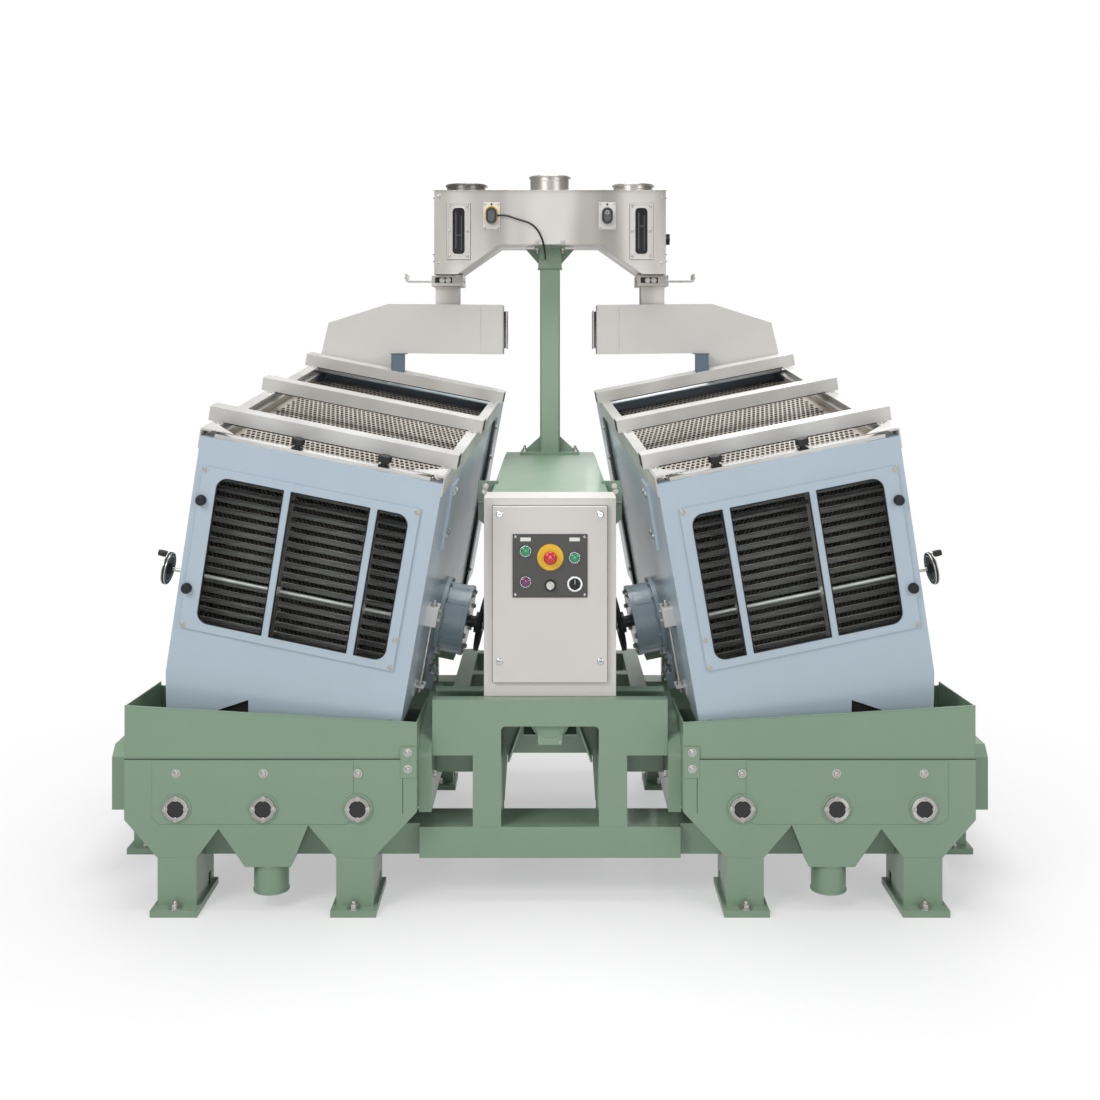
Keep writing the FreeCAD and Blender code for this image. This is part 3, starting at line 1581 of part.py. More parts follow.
def mast():
    """Build the square mast with its base flange, top sleeve, flange and ribs."""
    y = feeder_mid
    outer = rounded_upright(square_bar(mast_half, pedestal_top, arch_top), UPWARD, mast_corner)
    tube = outer.cut(square_bar(mast_half - mast_wall, pedestal_top, arch_top))
    flange_low = arch_top - mast_flange_thick
    sleeve = square_bar(sleeve_half, sleeve_foot, flange_low)
    sleeve = rounded_upright(sleeve, UPWARD, mast_corner).cut(outer)
    flange = square_bar(mast_flange_half, flange_low, arch_top).cut(outer)
    rib_reach, rib_foot = mast_rib
    rib = [(-sleeve_half, flange_low), (-sleeve_half, rib_foot), (-rib_reach, flange_low)]
    base_top = pedestal_top + base_thick
    base = block(-base_half, base_half, y - base_half_depth, y + base_half_depth, pedestal_top, base_top)
    gusset_reach, gusset_rise = mast_gusset
    gusset = [(-mast_half, base_top), (-gusset_reach, base_top), (-mast_half, base_top + gusset_rise)]
    ribs = [along_y(points, y - sheet, y + sheet) for points in (rib, gusset)]
    return [tube, sleeve, flange, base.cut(outer)] + both_sides(ribs)


def square_bar(half, foot, top):
    """Return an upright square bar on the mast's axis."""
    return block(-half, half, feeder_mid - half, feeder_mid + half, foot, top)


def pedestal():
    """Build the pedestal housing behind the cabinet and its two side brackets."""
    front = cabinet_front + cabinet_depth
    foot = side_beam_top + rail_height
    plan = [
        (-pedestal_front_half, front), (-pedestal_rear_half, pedestal_rear),
        (pedestal_rear_half, pedestal_rear), (pedestal_front_half, front),
    ]
    roof_line = [
        (front, pedestal_front_top), (pedestal_slope_end, pedestal_top), (pedestal_rear, pedestal_top),
    ]
    above = along_x(roof_line + [(pedestal_rear, reach), (front, reach)], -reach / 2, reach / 2)
    roof_low = [(y, z - sheet) for y, z in roof_line]
    under_roof = along_x(roof_low + [(pedestal_rear, reach), (front, reach)], -reach / 2, reach / 2)
    strips = mitred_strips(plan, sheet, True)
    walls = [along_z(strip, foot, pedestal_top).cut(under_roof) for strip in strips]
    whole = along_z(plan, foot, pedestal_top).cut(above)
    roof = whole.common(under_roof)
    bracket = along_y(
        [
            (-pedestal_rear_half, bracket_top), (-bracket_reach, bracket_top),
            (-bracket_reach, bracket_step), (-pedestal_rear_half, bracket_foot),
        ],
        bracket_y, bracket_y + bracket_thick,
    )
    return walls + [roof] + both_sides([bracket.cut(whole)])


def cabinet_body():
    """Build the open-fronted control cabinet."""
    half = cabinet_half
    front = cabinet_front
    rear = front + cabinet_depth
    low = frame_top
    high = cabinet_top
    wall = cabinet_sheet
    rim_side = half - door_half + door_overlap
    rim_top = high - door_top + door_overlap
    rim_foot = door_foot - low + door_overlap
    inside = (-half + wall, half - wall)
    return [
        block(-half, -half + wall, front, rear, low, high),
        block(half - wall, half, front, rear, low, high),
        block(inside[0], inside[1], front, rear, low, low + wall),
        block(inside[0], inside[1], front, rear, high - wall, high),
        block(inside[0], inside[1], rear - wall, rear, low + wall, high - wall),
        block(inside[0], -half + rim_side, front, front + wall, low + wall, high - wall),
        block(half - rim_side, inside[1], front, front + wall, low + wall, high - wall),
        block(-half + rim_side, half - rim_side, front, front + wall, low + wall, low + rim_foot),
        block(-half + rim_side, half - rim_side, front, front + wall, high - rim_top, high - wall),
    ]


def door_face():
    """Return how far forward the cabinet door's face lies."""
    return cabinet_front - door_gap - door_thick


def cabinet_door():
    """Build the folded cabinet door with holes for the controls."""
    face = door_face()
    back = cabinet_front - door_gap
    solid = block(-door_half, door_half, face, back, door_foot, door_top)
    edges = [edge for edge in solid.Edges if abs(edge.CenterOfMass.y - face) < clear]
    solid = solid.makeFillet(door_skin, edges)
    core = block(
        -door_half + door_skin, door_half - door_skin, face + door_skin, back,
        door_foot + door_skin, door_top - door_skin,
    )
    return solid.cut([core] + control_holes(face))


def control_places():
    """Return every control's place on the door."""
    return list(buttons.values()) + [stop_place, key_place, rotary_place]


def control_holes(face):
    """Return the round bores that the controls pass through."""
    start = face - panel_thick - clear
    return [
        rod(Vector(x, start, z), REARWARD, stem_radius + running_gap, door_thick + 2 * panel_thick)
        for x, z in control_places()
    ]


def control_panel():
    """Build the dark plate that carries the controls."""
    face = door_face()
    solid = block(-panel_half, panel_half, face - panel_thick, face, panel_foot, panel_top)
    return solid.cut(control_holes(face))


def panel_face():
    """Return how far forward the control plate's face lies."""
    return door_face() - panel_thick


def door_fittings():
    """Build the four corner locks and the bezels round the buttons."""
    solids = []
    for x in (-lock_x, lock_x):
        for z in lock_heights:
            solids.append(rod(Vector(x, door_face(), z), -REARWARD, lock_radius, lock_proud))
    seats = [(place, bezel_radius, button_radius) for place in buttons.values()]
    seats.append((rotary_place, rotary_ring, rotary_radius))
    seats.append((key_place, key_radius + key_bezel, key_radius))
    for (x, z), outer, inner in seats:
        seat = Vector(x, panel_face(), z)
        solids.append(pipe(seat, -REARWARD, outer, inner + bezel_gap, bezel_proud))
    return solids


def stop_collar():
    """Build the yellow ring behind the stop mushroom."""
    x, z = stop_place
    return pipe(Vector(x, panel_face(), z), -REARWARD, collar_radius, stem_radius + clear, collar_thick)


def push_button(place):
    """Build one push button: a cap on a stem that runs through the door."""
    x, z = place
    cap_face = panel_face() - button_proud
    cap = rod(Vector(x, cap_face, z), REARWARD, button_radius, button_cap)
    stem = rod(Vector(x, cap_face, z), REARWARD, stem_radius, button_proud + stem_depth)
    return cap.fuse(stem)


def stop_mushroom():
    """Build the stop button's mushroom head and stem."""
    x, z = stop_place
    front = panel_face() - mushroom_proud
    slope = mushroom_cap - mushroom_rim
    crown = Part.makeCone(mushroom_crown, mushroom_radius, slope, Vector(x, front, z), REARWARD)
    body = rod(Vector(x, front + slope, z), REARWARD, mushroom_radius, mushroom_rim)
    stem = rod(Vector(x, front, z), REARWARD, stem_radius, mushroom_proud + stem_depth)
    return stem.fuse([crown, body])


def turning_control(place, radius, bar):
    """Build a turning control: a disc with a raised bar on a stem."""
    x, z = place
    width, height, proud = bar
    face = panel_face() - bezel_proud
    disc = rod(Vector(x, face, z), REARWARD, radius, bezel_proud - clear / 2)
    stem = rod(Vector(x, face, z), REARWARD, stem_radius, bezel_proud + stem_depth)
    ridge = block(x - width / 2, x + width / 2, face - proud, face + clear, z - height / 2, z + height / 2)
    return stem.fuse([disc, ridge])


def drive_motor():
    """Build the finned motor with its terminal box, saddle and slanted cradle plates."""
    start = Vector(0, motor_front, motor_height)
    body = rod(start, REARWARD, motor_radius - motor_fin_depth, motor_rear - motor_front)
    cap = rod(start, REARWARD, motor_radius, motor_cap)
    fin_start = frame_second + 3 * plate
    spacing = (motor_rear - fin_start) / motor_fins
    fins = [
        rod(Vector(0, fin_start + index * spacing, motor_height), REARWARD, motor_radius, spacing / 3)
        for index in range(motor_fins)
    ]
    box = block(
        -terminal_half, terminal_half, motor_front - terminal_proud, motor_front + terminal_depth,
        terminal_foot, motor_height - motor_radius / 2,
    )
    motor = body.fuse(fins + [cap, box])
    points = [
        (-cradle_top_half - cradle_thick, cradle_top), (-cradle_top_half, cradle_top),
        (-cradle_foot_half, second_opening_top), (-cradle_foot_half - cradle_thick, second_opening_top),
    ]
    cradle_front = frame_second - cradle_depth
    strip = along_y(points, cradle_front, frame_second)
    saddle_top = cradle_top - saddle_drop
    saddle = block(
        -cradle_top_half, cradle_top_half, cradle_front, frame_second,
        saddle_top - cradle_thick, saddle_top,
    )
    return [motor, saddle.cut(motor)] + both_sides([strip])


def build_base():
    """Keep every node of the standing machine below the feeder."""
    rings, lenses = sight_glasses()
    keep_pair("hopper", hopper())
    keep("hopper_covers", *both_sides(hopper_cover()))
    keep("sight_glass_rings", *both_sides(rings))
    keep("sight_glass_lenses", *both_sides(lenses))
    keep("front_frame", *front_frame())
    keep("base_beams", *base_beams())
    keep("cheeks", *both_sides([cheek()]))
    keep("legs", *both_sides(legs()))
    keep("frame_bolts", *both_sides(anchor_bolts() + cheek_bolts()))
    keep("bed_frames", *both_sides(bed_frames()))
    keep("drive_motor", *drive_motor())
    keep("pedestal", *pedestal())
    keep("cabinet_body", *cabinet_body())


def build_feeder():
    """Keep the mast and every node of the feeder bridge."""
    front = feeder_mid - feeder_depth / 2
    keep("mast", *mast())
    keep("feeder_casing", *feeder_casing())
    keep("feeder_windows", *both_sides([feeder_window(front)]))
    keep("inlet_spigots", *inlet_spigots())
    keep("level_sensors", *level_sensors())
    keep("sensor_cable", sensor_cable())
    keep("star_knob", star_knob())
    keep_pair("slide_gate", [slide_gate()])


def build_decks():
    """Keep every node that rides on or under the two decks."""
    keep_pair("deck_casing", deck_casing())
    keep_pair("window_cover", [window_cover()])
    keep_pair("window_pane", [window_pane()])
    keep_pair("trays", trays())
    keep_pair("top_frame", top_frame())
    keep_pair("deck_knobs", deck_knobs())
    keep_pair("inlet_hood", inlet_hood())
    keep_pair("drive_drum", [drive_drum()])
    keep_pair("side_fittings", side_fittings())
    keep_pair("drive_shaft", [drive_shaft()])
    keep_pair("spindle", [spindle()])
    keep_pair("dividers", dividers())
    for name in rocker_stations:
        keep_pair(name + "_rocker", [rocker(name)])


def build_door():
    """Keep the cabinet door and its controls."""
    keep("cabinet_door", cabinet_door())
    keep("control_panel", control_panel())
    keep("door_fittings", stop_collar(), *door_fittings())
    for name, place in buttons.items():
        keep(name, push_button(place))
    keep("stop_mushroom", stop_mushroom())
    keep("key_switch", turning_control(key_place, key_radius, key_blade))
    keep("rotary_switch", turning_control(rotary_place, rotary_radius, rotary_pointer))


def footprint_shift():
    """Return the move that puts the origin under the middle of the machine."""
    everything = Part.makeCompound([shape for name, shape in nodes.items() if name != "sensor_cable"])
    box = everything.BoundBox
    return Vector(0, -(box.YMin + box.YMax) / 2, 0)


build_base()
build_feeder()
build_decks()
build_door()
origin_shift = footprint_shift()
os.makedirs("parts", exist_ok=True)
for node_name, node_shape in nodes.items():
    node_shape.translate(origin_shift)
    node_shape.exportStep("parts/" + node_name + ".step")
print("nodes", len(nodes), "shift", origin_shift)
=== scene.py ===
"""Finishes, fittings, light and camera for the paddy separator with two tray decks.

Every length is in metres in the machine's own frame: X to the right seen from the front,
Y to the rear, Z up from the floor.
"""
import json
import logging
import math
from dataclasses import dataclass, field
from enum import Enum
from typing import Iterable, Sequence

import bmesh
import bpy
from mathutils import Matrix, Vector

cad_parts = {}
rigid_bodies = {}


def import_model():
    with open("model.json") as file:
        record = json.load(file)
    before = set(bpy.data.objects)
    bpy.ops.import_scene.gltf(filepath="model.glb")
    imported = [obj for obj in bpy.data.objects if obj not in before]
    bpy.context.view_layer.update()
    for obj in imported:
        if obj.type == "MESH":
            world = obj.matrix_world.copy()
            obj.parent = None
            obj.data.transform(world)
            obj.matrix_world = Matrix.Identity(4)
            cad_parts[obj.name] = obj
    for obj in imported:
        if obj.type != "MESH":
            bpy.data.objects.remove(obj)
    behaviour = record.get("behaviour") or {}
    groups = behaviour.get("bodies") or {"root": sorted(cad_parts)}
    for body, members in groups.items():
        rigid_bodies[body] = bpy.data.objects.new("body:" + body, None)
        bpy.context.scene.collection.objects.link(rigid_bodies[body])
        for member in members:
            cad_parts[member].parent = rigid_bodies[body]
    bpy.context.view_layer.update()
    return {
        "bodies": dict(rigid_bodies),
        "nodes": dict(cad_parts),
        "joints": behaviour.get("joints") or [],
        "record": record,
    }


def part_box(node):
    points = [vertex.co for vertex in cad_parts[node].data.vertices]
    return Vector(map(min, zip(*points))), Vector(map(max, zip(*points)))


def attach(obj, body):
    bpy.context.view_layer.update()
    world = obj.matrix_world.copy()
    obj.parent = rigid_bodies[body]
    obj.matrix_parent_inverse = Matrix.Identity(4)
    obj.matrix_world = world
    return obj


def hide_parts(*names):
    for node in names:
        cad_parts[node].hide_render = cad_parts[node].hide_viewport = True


log = logging.getLogger("paddy_separator")

Pair = tuple[float, float]
Point = tuple[float, float, float]
Colour = tuple[float, float, float]
Profile = tuple[Pair, ...]
SIDES = (("left", 1.0), ("right", -1.0))
FORWARD: Point = (0.0, -1.0, 0.0)
ACROSS: Point = (1.0, 0.0, 0.0)
UPWARD: Point = (0.0, 0.0, 1.0)
DOWNWARD: Point = (0.0, 0.0, -1.0)
QUARTER_TURN = Matrix.Rotation(math.radians(90), 4, "Y")
PAINT_DUST = "CFCABD"
METAL_DUST = "C9C2B2"
# Near-white edge colour of bare metal: rubbed wear, and also a painted highlight along the edges.
RUBBED_EDGE_HIGHLIGHT = "F4F3EF"


def srgb(code: str) -> Colour:
    """Turn a six-digit colour code into linear values.

    Args:
        code: red, green and blue as six hexadecimal digits.

    Returns:
        The three linear channel values.
    """
    values = [int(code[i:i + 2], 16) / 255 for i in (0, 2, 4)]
    return tuple(v / 12.92 if v <= 0.04045 else ((v + 0.055) / 1.055) ** 2.4 for v in values)


def opaque(code: str) -> tuple[float, float, float, float]:
    """Turn a six-digit colour code into linear values with full cover."""
    return srgb(code) + (1.0,)


def placed(name: str, data: bpy.types.ID) -> bpy.types.Object:
    """Put data into the scene as a new object."""
    piece = bpy.data.objects.new(name, data)
    bpy.context.scene.collection.objects.link(piece)
    return piece


class Kind(Enum):
    """How a surface is made, which decides the texture that it gets."""

    PAINT = "paint"
    BRUSHED = "brushed"
    CAST = "cast"
    PLASTIC = "plastic"
    GLASS = "glass"
    TRAY = "tray"


@dataclass(frozen=True)
class NodeBuilder:
    """Small helper that adds linked nodes to one node tree."""

    tree: bpy.types.NodeTree

    def add(self, kind: str, **settings: object) -> bpy.types.Node:
        """Add a node and set its properties."""
        node = self.tree.nodes.new(kind)
        for name, value in settings.items():
            setattr(node, name, value)
        return node

    def link(self, source: bpy.types.NodeSocket, target: bpy.types.NodeSocket) -> None:
        """Connect two sockets."""
        self.tree.links.new(source, target)

    def feed(self, target: bpy.types.NodeSocket, value: object) -> None:
        """Link a socket, or set a plain value on it."""
        if isinstance(value, bpy.types.NodeSocket):
            self.link(value, target)
        else:
            target.default_value = value

    def math(self, operation: str, *values: object, clamp: bool = False) -> bpy.types.NodeSocket:
        """Add a math node and return its output."""
        node = self.add("ShaderNodeMath", operation=operation, use_clamp=clamp)
        for socket, value in zip(node.inputs, values):
            self.feed(socket, value)
        return node.outputs[0]

    def noise(
        self, vector: bpy.types.NodeSocket, scale: object, detail: float = 4.0, rough: float = 0.55,
    ) -> bpy.types.NodeSocket:
        """Add a noise texture and return its factor."""
        node = self.add("ShaderNodeTexNoise")
        self.link(vector, node.inputs["Vector"])
        self.feed(node.inputs["Scale"], scale)
        node.inputs["Detail"].default_value = detail
        node.inputs["Roughness"].default_value = rough
        return node.outputs["Fac"]

    def mix(self, factor: object, first: object, second: object) -> bpy.types.NodeSocket:
        """Mix two colours and return the result."""
        node = self.add("ShaderNodeMix", data_type="RGBA")
        self.feed(node.inputs[0], factor)
        self.feed(node.inputs[6], first)
        self.feed(node.inputs[7], second)
        return node.outputs[2]

    def ramp(self, value: object, low: float, high: float) -> bpy.types.NodeSocket:
        """Stretch a value from low..high to 0..1 and return it."""
        node = self.add("ShaderNodeMapRange", interpolation_type="SMOOTHSTEP")
        self.feed(node.inputs["Value"], value)
        node.inputs["From Min"].default_value = low
        node.inputs["From Max"].default_value = high
        return node.outputs["Result"]

    def place(self) -> bpy.types.NodeSocket:
        """Return the shaded point in the object's own axes."""
        return self.add("ShaderNodeTexCoord").outputs["Object"]

    def stretch(self, vector: bpy.types.NodeSocket, factors: object) -> bpy.types.NodeSocket:
        """Scale a vector by a factor on each axis and return it."""
        node = self.add("ShaderNodeVectorMath", operation="MULTIPLY")
        self.link(vector, node.inputs[0])
        self.feed(node.inputs[1], factors)
        return node.outputs[0]


class EffectLibrary:
    """The node groups that several finishes share."""

    def __init__(self) -> None:
        """Build every group once."""
        self.wear_and_highlight = self._edge_wear_and_highlight()
        self.dust = self._dust()
        self.peel = self._orange_peel()
        self.grain = self._brushed_grain()

    @staticmethod
    def _group(name: str, inputs: Sequence[tuple[str, float]], outputs: Sequence[str]) -> tuple:
        """Open a new group with named sockets.

        Args:
            name: the group's name.
            inputs: name and default of each input.
            outputs: names of the outputs, all plain numbers but "Normal".

        Returns:
            The group, a builder for it, its input node and its output node.
        """
        group = bpy.data.node_groups.new(name, "ShaderNodeTree")
        for label, default in inputs:
            socket = group.interface.new_socket(name=label, in_out="INPUT", socket_type="NodeSocketFloat")
            socket.default_value = default
        for label in outputs:
            kind = "NodeSocketVector" if label == "Normal" else "NodeSocketFloat"
            group.interface.new_socket(name=label, in_out="OUTPUT", socket_type=kind)
        build = NodeBuilder(group)
        return group, build, build.add("NodeGroupInput"), build.add("NodeGroupOutput")

    def _edge_wear_and_highlight(self) -> bpy.types.NodeTree:
        """Return a mask of the sharp edges, broken up by noise, for rubbed wear and painted edge highlights,
        and the normal of rounded edges.
        """
        spec = [("Width", 0.002), ("Break Up", 60.0)]
        group, build, start, end = self._group("edge_wear_and_highlight", spec, ["Mask", "Normal"])
        bevel = build.add("ShaderNodeBevel", samples=4)
        build.link(start.outputs["Width"], bevel.inputs["Radius"])
        geometry = build.add("ShaderNodeNewGeometry")
        dot = build.add("ShaderNodeVectorMath", operation="DOT_PRODUCT")
        build.link(bevel.outputs[0], dot.inputs[0])
        build.link(geometry.outputs["Normal"], dot.inputs[1])
        turned = build.ramp(build.math("SUBTRACT", 1.0, dot.outputs["Value"]), 0.02, 0.2)
        place = build.place()
        broken = build.ramp(build.noise(place, start.outputs["Break Up"], 6.0, 0.7), 0.42, 0.62)
        build.link(build.math("MULTIPLY", turned, broken, clamp=True), end.inputs["Mask"])
        build.link(bevel.outputs[0], end.inputs["Normal"])
        return group

    def _dust(self) -> bpy.types.NodeTree:
        """Return a mask of the fine dust that lies on faces that look up, and a slow mottle."""
        spec = [("Amount", 0.3), ("Scale", 3.0)]
        group, build, start, end = self._group("settled_dust", spec, ["Mask", "Mottle"])
        place = build.place()
        geometry = build.add("ShaderNodeNewGeometry")
        split = build.add("ShaderNodeSeparateXYZ")
        build.link(geometry.outputs["Normal"], split.inputs[0])
        upward = build.ramp(split.outputs["Z"], 0.45, 1.0)
        cloud = build.ramp(build.noise(place, 14.0, 7.0, 0.65), 0.35, 0.75)
        patches = build.math("MULTIPLY", upward, cloud)
        mask = build.math("MULTIPLY", patches, start.outputs["Amount"], clamp=True)
        build.link(mask, end.inputs["Mask"])
        build.link(build.noise(place, start.outputs["Scale"], 5.0, 0.6), end.inputs["Mottle"])
        return group

    def _orange_peel(self) -> bpy.types.NodeTree:
        """Return the height of a sprayed coat's fine unevenness and its gloss variation."""
        spec = [("Scale", 700.0)]
        group, build, start, end = self._group("sprayed_coat", spec, ["Height", "Gloss"])
        place = build.place()
        build.link(build.noise(place, start.outputs["Scale"], 2.0, 0.5), end.inputs["Height"])
        build.link(build.noise(place, 9.0, 6.0, 0.7), end.inputs["Gloss"])
        return group

    def _brushed_grain(self) -> bpy.types.NodeTree:
        """Return a fine grain along X, the slow cloud of handled metal and the broad bands of a painted sheen.
        """
        spec = [("Across", 900.0), ("Along", 12.0)]
        group, build, start, end = self._group("brushed_grain", spec, ["Height", "Cloud", "Sheen Bands"])
        place = build.place()
        factors = build.add("ShaderNodeCombineXYZ")
        for socket, label in zip(factors.inputs, ("Along", "Across", "Across")):
            build.link(start.outputs[label], socket)
        grain = build.stretch(place, factors.outputs[0])
        build.link(build.noise(grain, 1.0, 4.0, 0.6), end.inputs["Height"])
        build.link(build.noise(place, 5.0, 5.0, 0.6), end.inputs["Cloud"])
        wide = build.stretch(place, (5.5, 5.5, 0.7))
        bright = build.ramp(build.noise(wide, 1.0, 1.5, 0.4), 0.36, 0.64)
        build.link(build.math("SUBTRACT", 1.0, bright), end.inputs["Sheen Bands"])
        return group


@dataclass(frozen=True)
class Finish:
    """One finish of the machine, made into a material on demand."""

    name: str
    kind: Kind
    colour: str
    slot: str
    second: str = "3A3F3C"
    roughness: float = 0.4
    metallic: float = 0.0
    coat: float = 0.0
    # Share of the edge tint: rubbed wear, and where the second colour is lighter, a painted edge highlight.
    wear_and_highlight: float = 0.5
    dust: float = 0.25
    bump: float = 0.12
    variation: float = 0.05
    # Share of the broad bands of painted sheen on bare metal.
    bands: float = 0.0

    def material(self, effects: EffectLibrary) -> bpy.types.Material:
        """Build the node material of this finish.

        Args:
            effects: the shared node groups.

        Returns:
            The finished material.
        """
        material = bpy.data.materials.new(self.name)
        material.use_nodes = True
        build = NodeBuilder(material.node_tree)
        shader = material.node_tree.nodes["Principled BSDF"]
        shader.inputs["Metallic"].default_value = self.metallic
        shader.inputs["Coat Weight"].default_value = self.coat
        shader.inputs["Coat Roughness"].default_value = 0.12
        shader.inputs["Specular IOR Level"].default_value = 0.5
        if self.kind is Kind.GLASS:
            self._glass(build, effects, shader)
        elif self.kind in (Kind.BRUSHED, Kind.TRAY):
            self._metal(build, effects, shader)
        else:
            self._solid(build, effects, shader)
        return material

    def _place(self, build: NodeBuilder, group: bpy.types.NodeTree, **values: float) -> bpy.types.Node:
        """Put a shared group into the material with this finish's values."""
        node = build.add("ShaderNodeGroup", node_tree=group)
        for label, value in values.items():
            node.inputs[label.replace("_", " ")].default_value = value
        return node

    def _shades(self) -> tuple[tuple, tuple]:
        """Return the base colour a little darker and a little lighter."""
        base = srgb(self.colour)
        dark = tuple(c * (1 - self.variation * 1.6) for c in base) + (1.0,)
        light = tuple(min(c * (1 + self.variation), 1.0) for c in base) + (1.0,)
        return dark, light

    def _bumped(
        self, build: NodeBuilder, shader: bpy.types.Node, height: object, depth: float, edges: bpy.types.Node,
    ) -> None:
        """Feed a height to the normal of the rounded edges through a bump node."""
        bump = build.add("ShaderNodeBump")
        build.link(edges.outputs["Normal"], bump.inputs["Normal"])
        bump.inputs["Strength"].default_value = self.bump
        bump.inputs["Distance"].default_value = depth
        build.link(height, bump.inputs["Height"])
        build.link(bump.outputs[0], shader.inputs["Normal"])

    def _solid(self, build: NodeBuilder, effects: EffectLibrary, shader: bpy.types.Node) -> None:
        """Fill in paint, castings and plastic."""
        dark, light = self._shades()
        dust = self._place(build, effects.dust, Amount=self.dust)
        wear_and_highlight = self._place(build, effects.wear_and_highlight, Width=0.0022)
        scale = 160.0 if self.kind is Kind.CAST else 700.0
        coat = self._place(build, effects.peel, Scale=scale)
        colour = build.mix(dust.outputs["Mottle"], dark, light)
        # Edges take the second colour: rubbed wear, and where that colour is lighter, a painted highlight.
        worn_and_lit = build.math("MULTIPLY", wear_and_highlight.outputs["Mask"], self.wear_and_highlight)
        colour = build.mix(worn_and_lit, colour, opaque(self.second))
        colour = build.mix(dust.outputs["Mask"], colour, opaque(PAINT_DUST))
        build.link(colour, shader.inputs["Base Color"])
        rough = build.math("ADD", build.math("MULTIPLY", coat.outputs["Gloss"], 0.16), self.roughness - 0.08)
        rough = build.math("ADD", rough, build.math("MULTIPLY", dust.outputs["Mask"], 0.5), clamp=True)
        build.link(rough, shader.inputs["Roughness"])
        self._bumped(build, shader, coat.outputs["Height"], 0.0012 if self.kind is Kind.CAST else 0.0004, wear_and_highlight)

    def _metal(self, build: NodeBuilder, effects: EffectLibrary, shader: bpy.types.Node) -> None:
        """Fill in brushed and rolled bare metal."""
        dark, light = self._shades()
        grain = self._place(build, effects.grain)
        dust = self._place(build, effects.dust, Amount=self.dust)
        wear_and_highlight = self._place(build, effects.wear_and_highlight, Width=0.0015)
        colour = build.mix(grain.outputs["Height"], dark, light)
        cloud = build.math("MULTIPLY", grain.outputs["Cloud"], self.variation * 3)
        colour = build.mix(cloud, colour, opaque(self.second))
        # Broad bands towards the second colour: a painted sheen.
        bands = build.math("MULTIPLY", grain.outputs["Sheen Bands"], self.bands)
        colour = build.mix(bands, colour, opaque(self.second))
        # Edges turn near-white: rubbed wear and a painted highlight.
        worn_and_lit = build.math("MULTIPLY", wear_and_highlight.outputs["Mask"], self.wear_and_highlight)
        colour = build.mix(worn_and_lit, colour, opaque(RUBBED_EDGE_HIGHLIGHT))
        colour = build.mix(dust.outputs["Mask"], colour, opaque(METAL_DUST))
        build.link(colour, shader.inputs["Base Color"])
        rough = build.math("ADD", build.math("MULTIPLY", grain.outputs["Cloud"], 0.2), self.roughness - 0.1)
        rough = build.math("ADD", rough, build.math("MULTIPLY", grain.outputs["Height"], 0.08), clamp=True)
        build.link(rough, shader.inputs["Roughness"])
        self._bumped(build, shader, grain.outputs["Height"], 0.0006, wear_and_highlight)

    def _glass(self, build: NodeBuilder, effects: EffectLibrary, shader: bpy.types.Node) -> None:
        """Fill in clear sheet with a trace of dust."""
        shader.inputs["Transmission Weight"].default_value = 1.0
        shader.inputs["IOR"].default_value = 1.12
        dust = self._place(build, effects.dust, Amount=self.dust)
        shader.inputs["Base Color"].default_value = opaque(self.colour)
        smear = build.math("MULTIPLY", build.ramp(dust.outputs["Mottle"], 0.4, 0.8), 0.12)
        build.link(build.math("ADD", smear, self.roughness), shader.inputs["Roughness"])


FRAME_PAINT = Finish(
    "sage_green_paint", Kind.PAINT, "829B84", "painted_frame", "66775F",
    0.38, coat=0.2, wear_and_highlight=0.3, dust=0.1,
)
DECK_PAINT = Finish(
    "pale_blue_grey_paint", Kind.PAINT, "B4C4D0", "painted_deck", "DDE4EA",
    0.34, coat=0.25, wear_and_highlight=0.5, dust=0.08,
)
HOOD_PAINT = Finish(
    "warm_grey_paint", Kind.PAINT, "C7C5C1", "painted_hood", "E4E2DF",
    0.4, coat=0.12, wear_and_highlight=0.3, dust=0.05,
)
CABINET_PAINT = Finish(
    "light_grey_powder", Kind.PAINT, "D6D2CD", "painted_cabinet", "ECE9E5",
    0.44, bump=0.3, wear_and_highlight=0.3, dust=0.05,
)
STRUT_PAINT = Finish(
    "slate_blue_paint", Kind.PAINT, "566977", "painted_deck", "8798A5",
    0.4, wear_and_highlight=0.3, dust=0.08,
)
DARK_PAINT = Finish("dark_grey_paint", Kind.PAINT, "3E4144", "painted_dark", "6A6E71", 0.45, dust=0.1)
PLATE_PAINT = Finish("control_plate_paint", Kind.PAINT, "4B4A49", "painted_dark", "77746F", 0.5, dust=0.05)
STEEL = Finish(
    "brushed_stainless", Kind.BRUSHED, "DEDBD6", "stainless", "8B8781",
    0.34, metallic=0.7, dust=0.0, bands=0.75,
)
SPOUT_STEEL = Finish(
    "rolled_stainless", Kind.BRUSHED, "C0BCB6", "stainless", "5E5A55",
    0.3, metallic=0.85, dust=0.0, bands=0.8,
)
ALLOY = Finish(
    "brushed_alloy", Kind.BRUSHED, "D8D7D4", "brushed_alloy", "9C9995",
    0.4, metallic=0.45, dust=0.0, bands=0.3,
)
ZINC = Finish("zinc_steel", Kind.BRUSHED, "C2C1BC", "zinc_steel", "85837C", 0.3, metallic=0.9, dust=0.05)
TRAY = Finish(
    "tray_steel", Kind.TRAY, "C6C0B6", "tray_sheet", "8A8175",
    0.45, metallic=0.3, dust=0.05, bands=0.25,
)
# Near-black fill: painted shade in the tray pits, behind the lips and behind the skirt's notch; also the guide
# bar's sheath.
DARK_FILL_AND_SHADE = Finish("dark_fill_and_painted_shade", Kind.CAST, "1B1917", "tray_sheet", "2E2A25", 0.8, wear_and_highlight=0.0, dust=0.0)
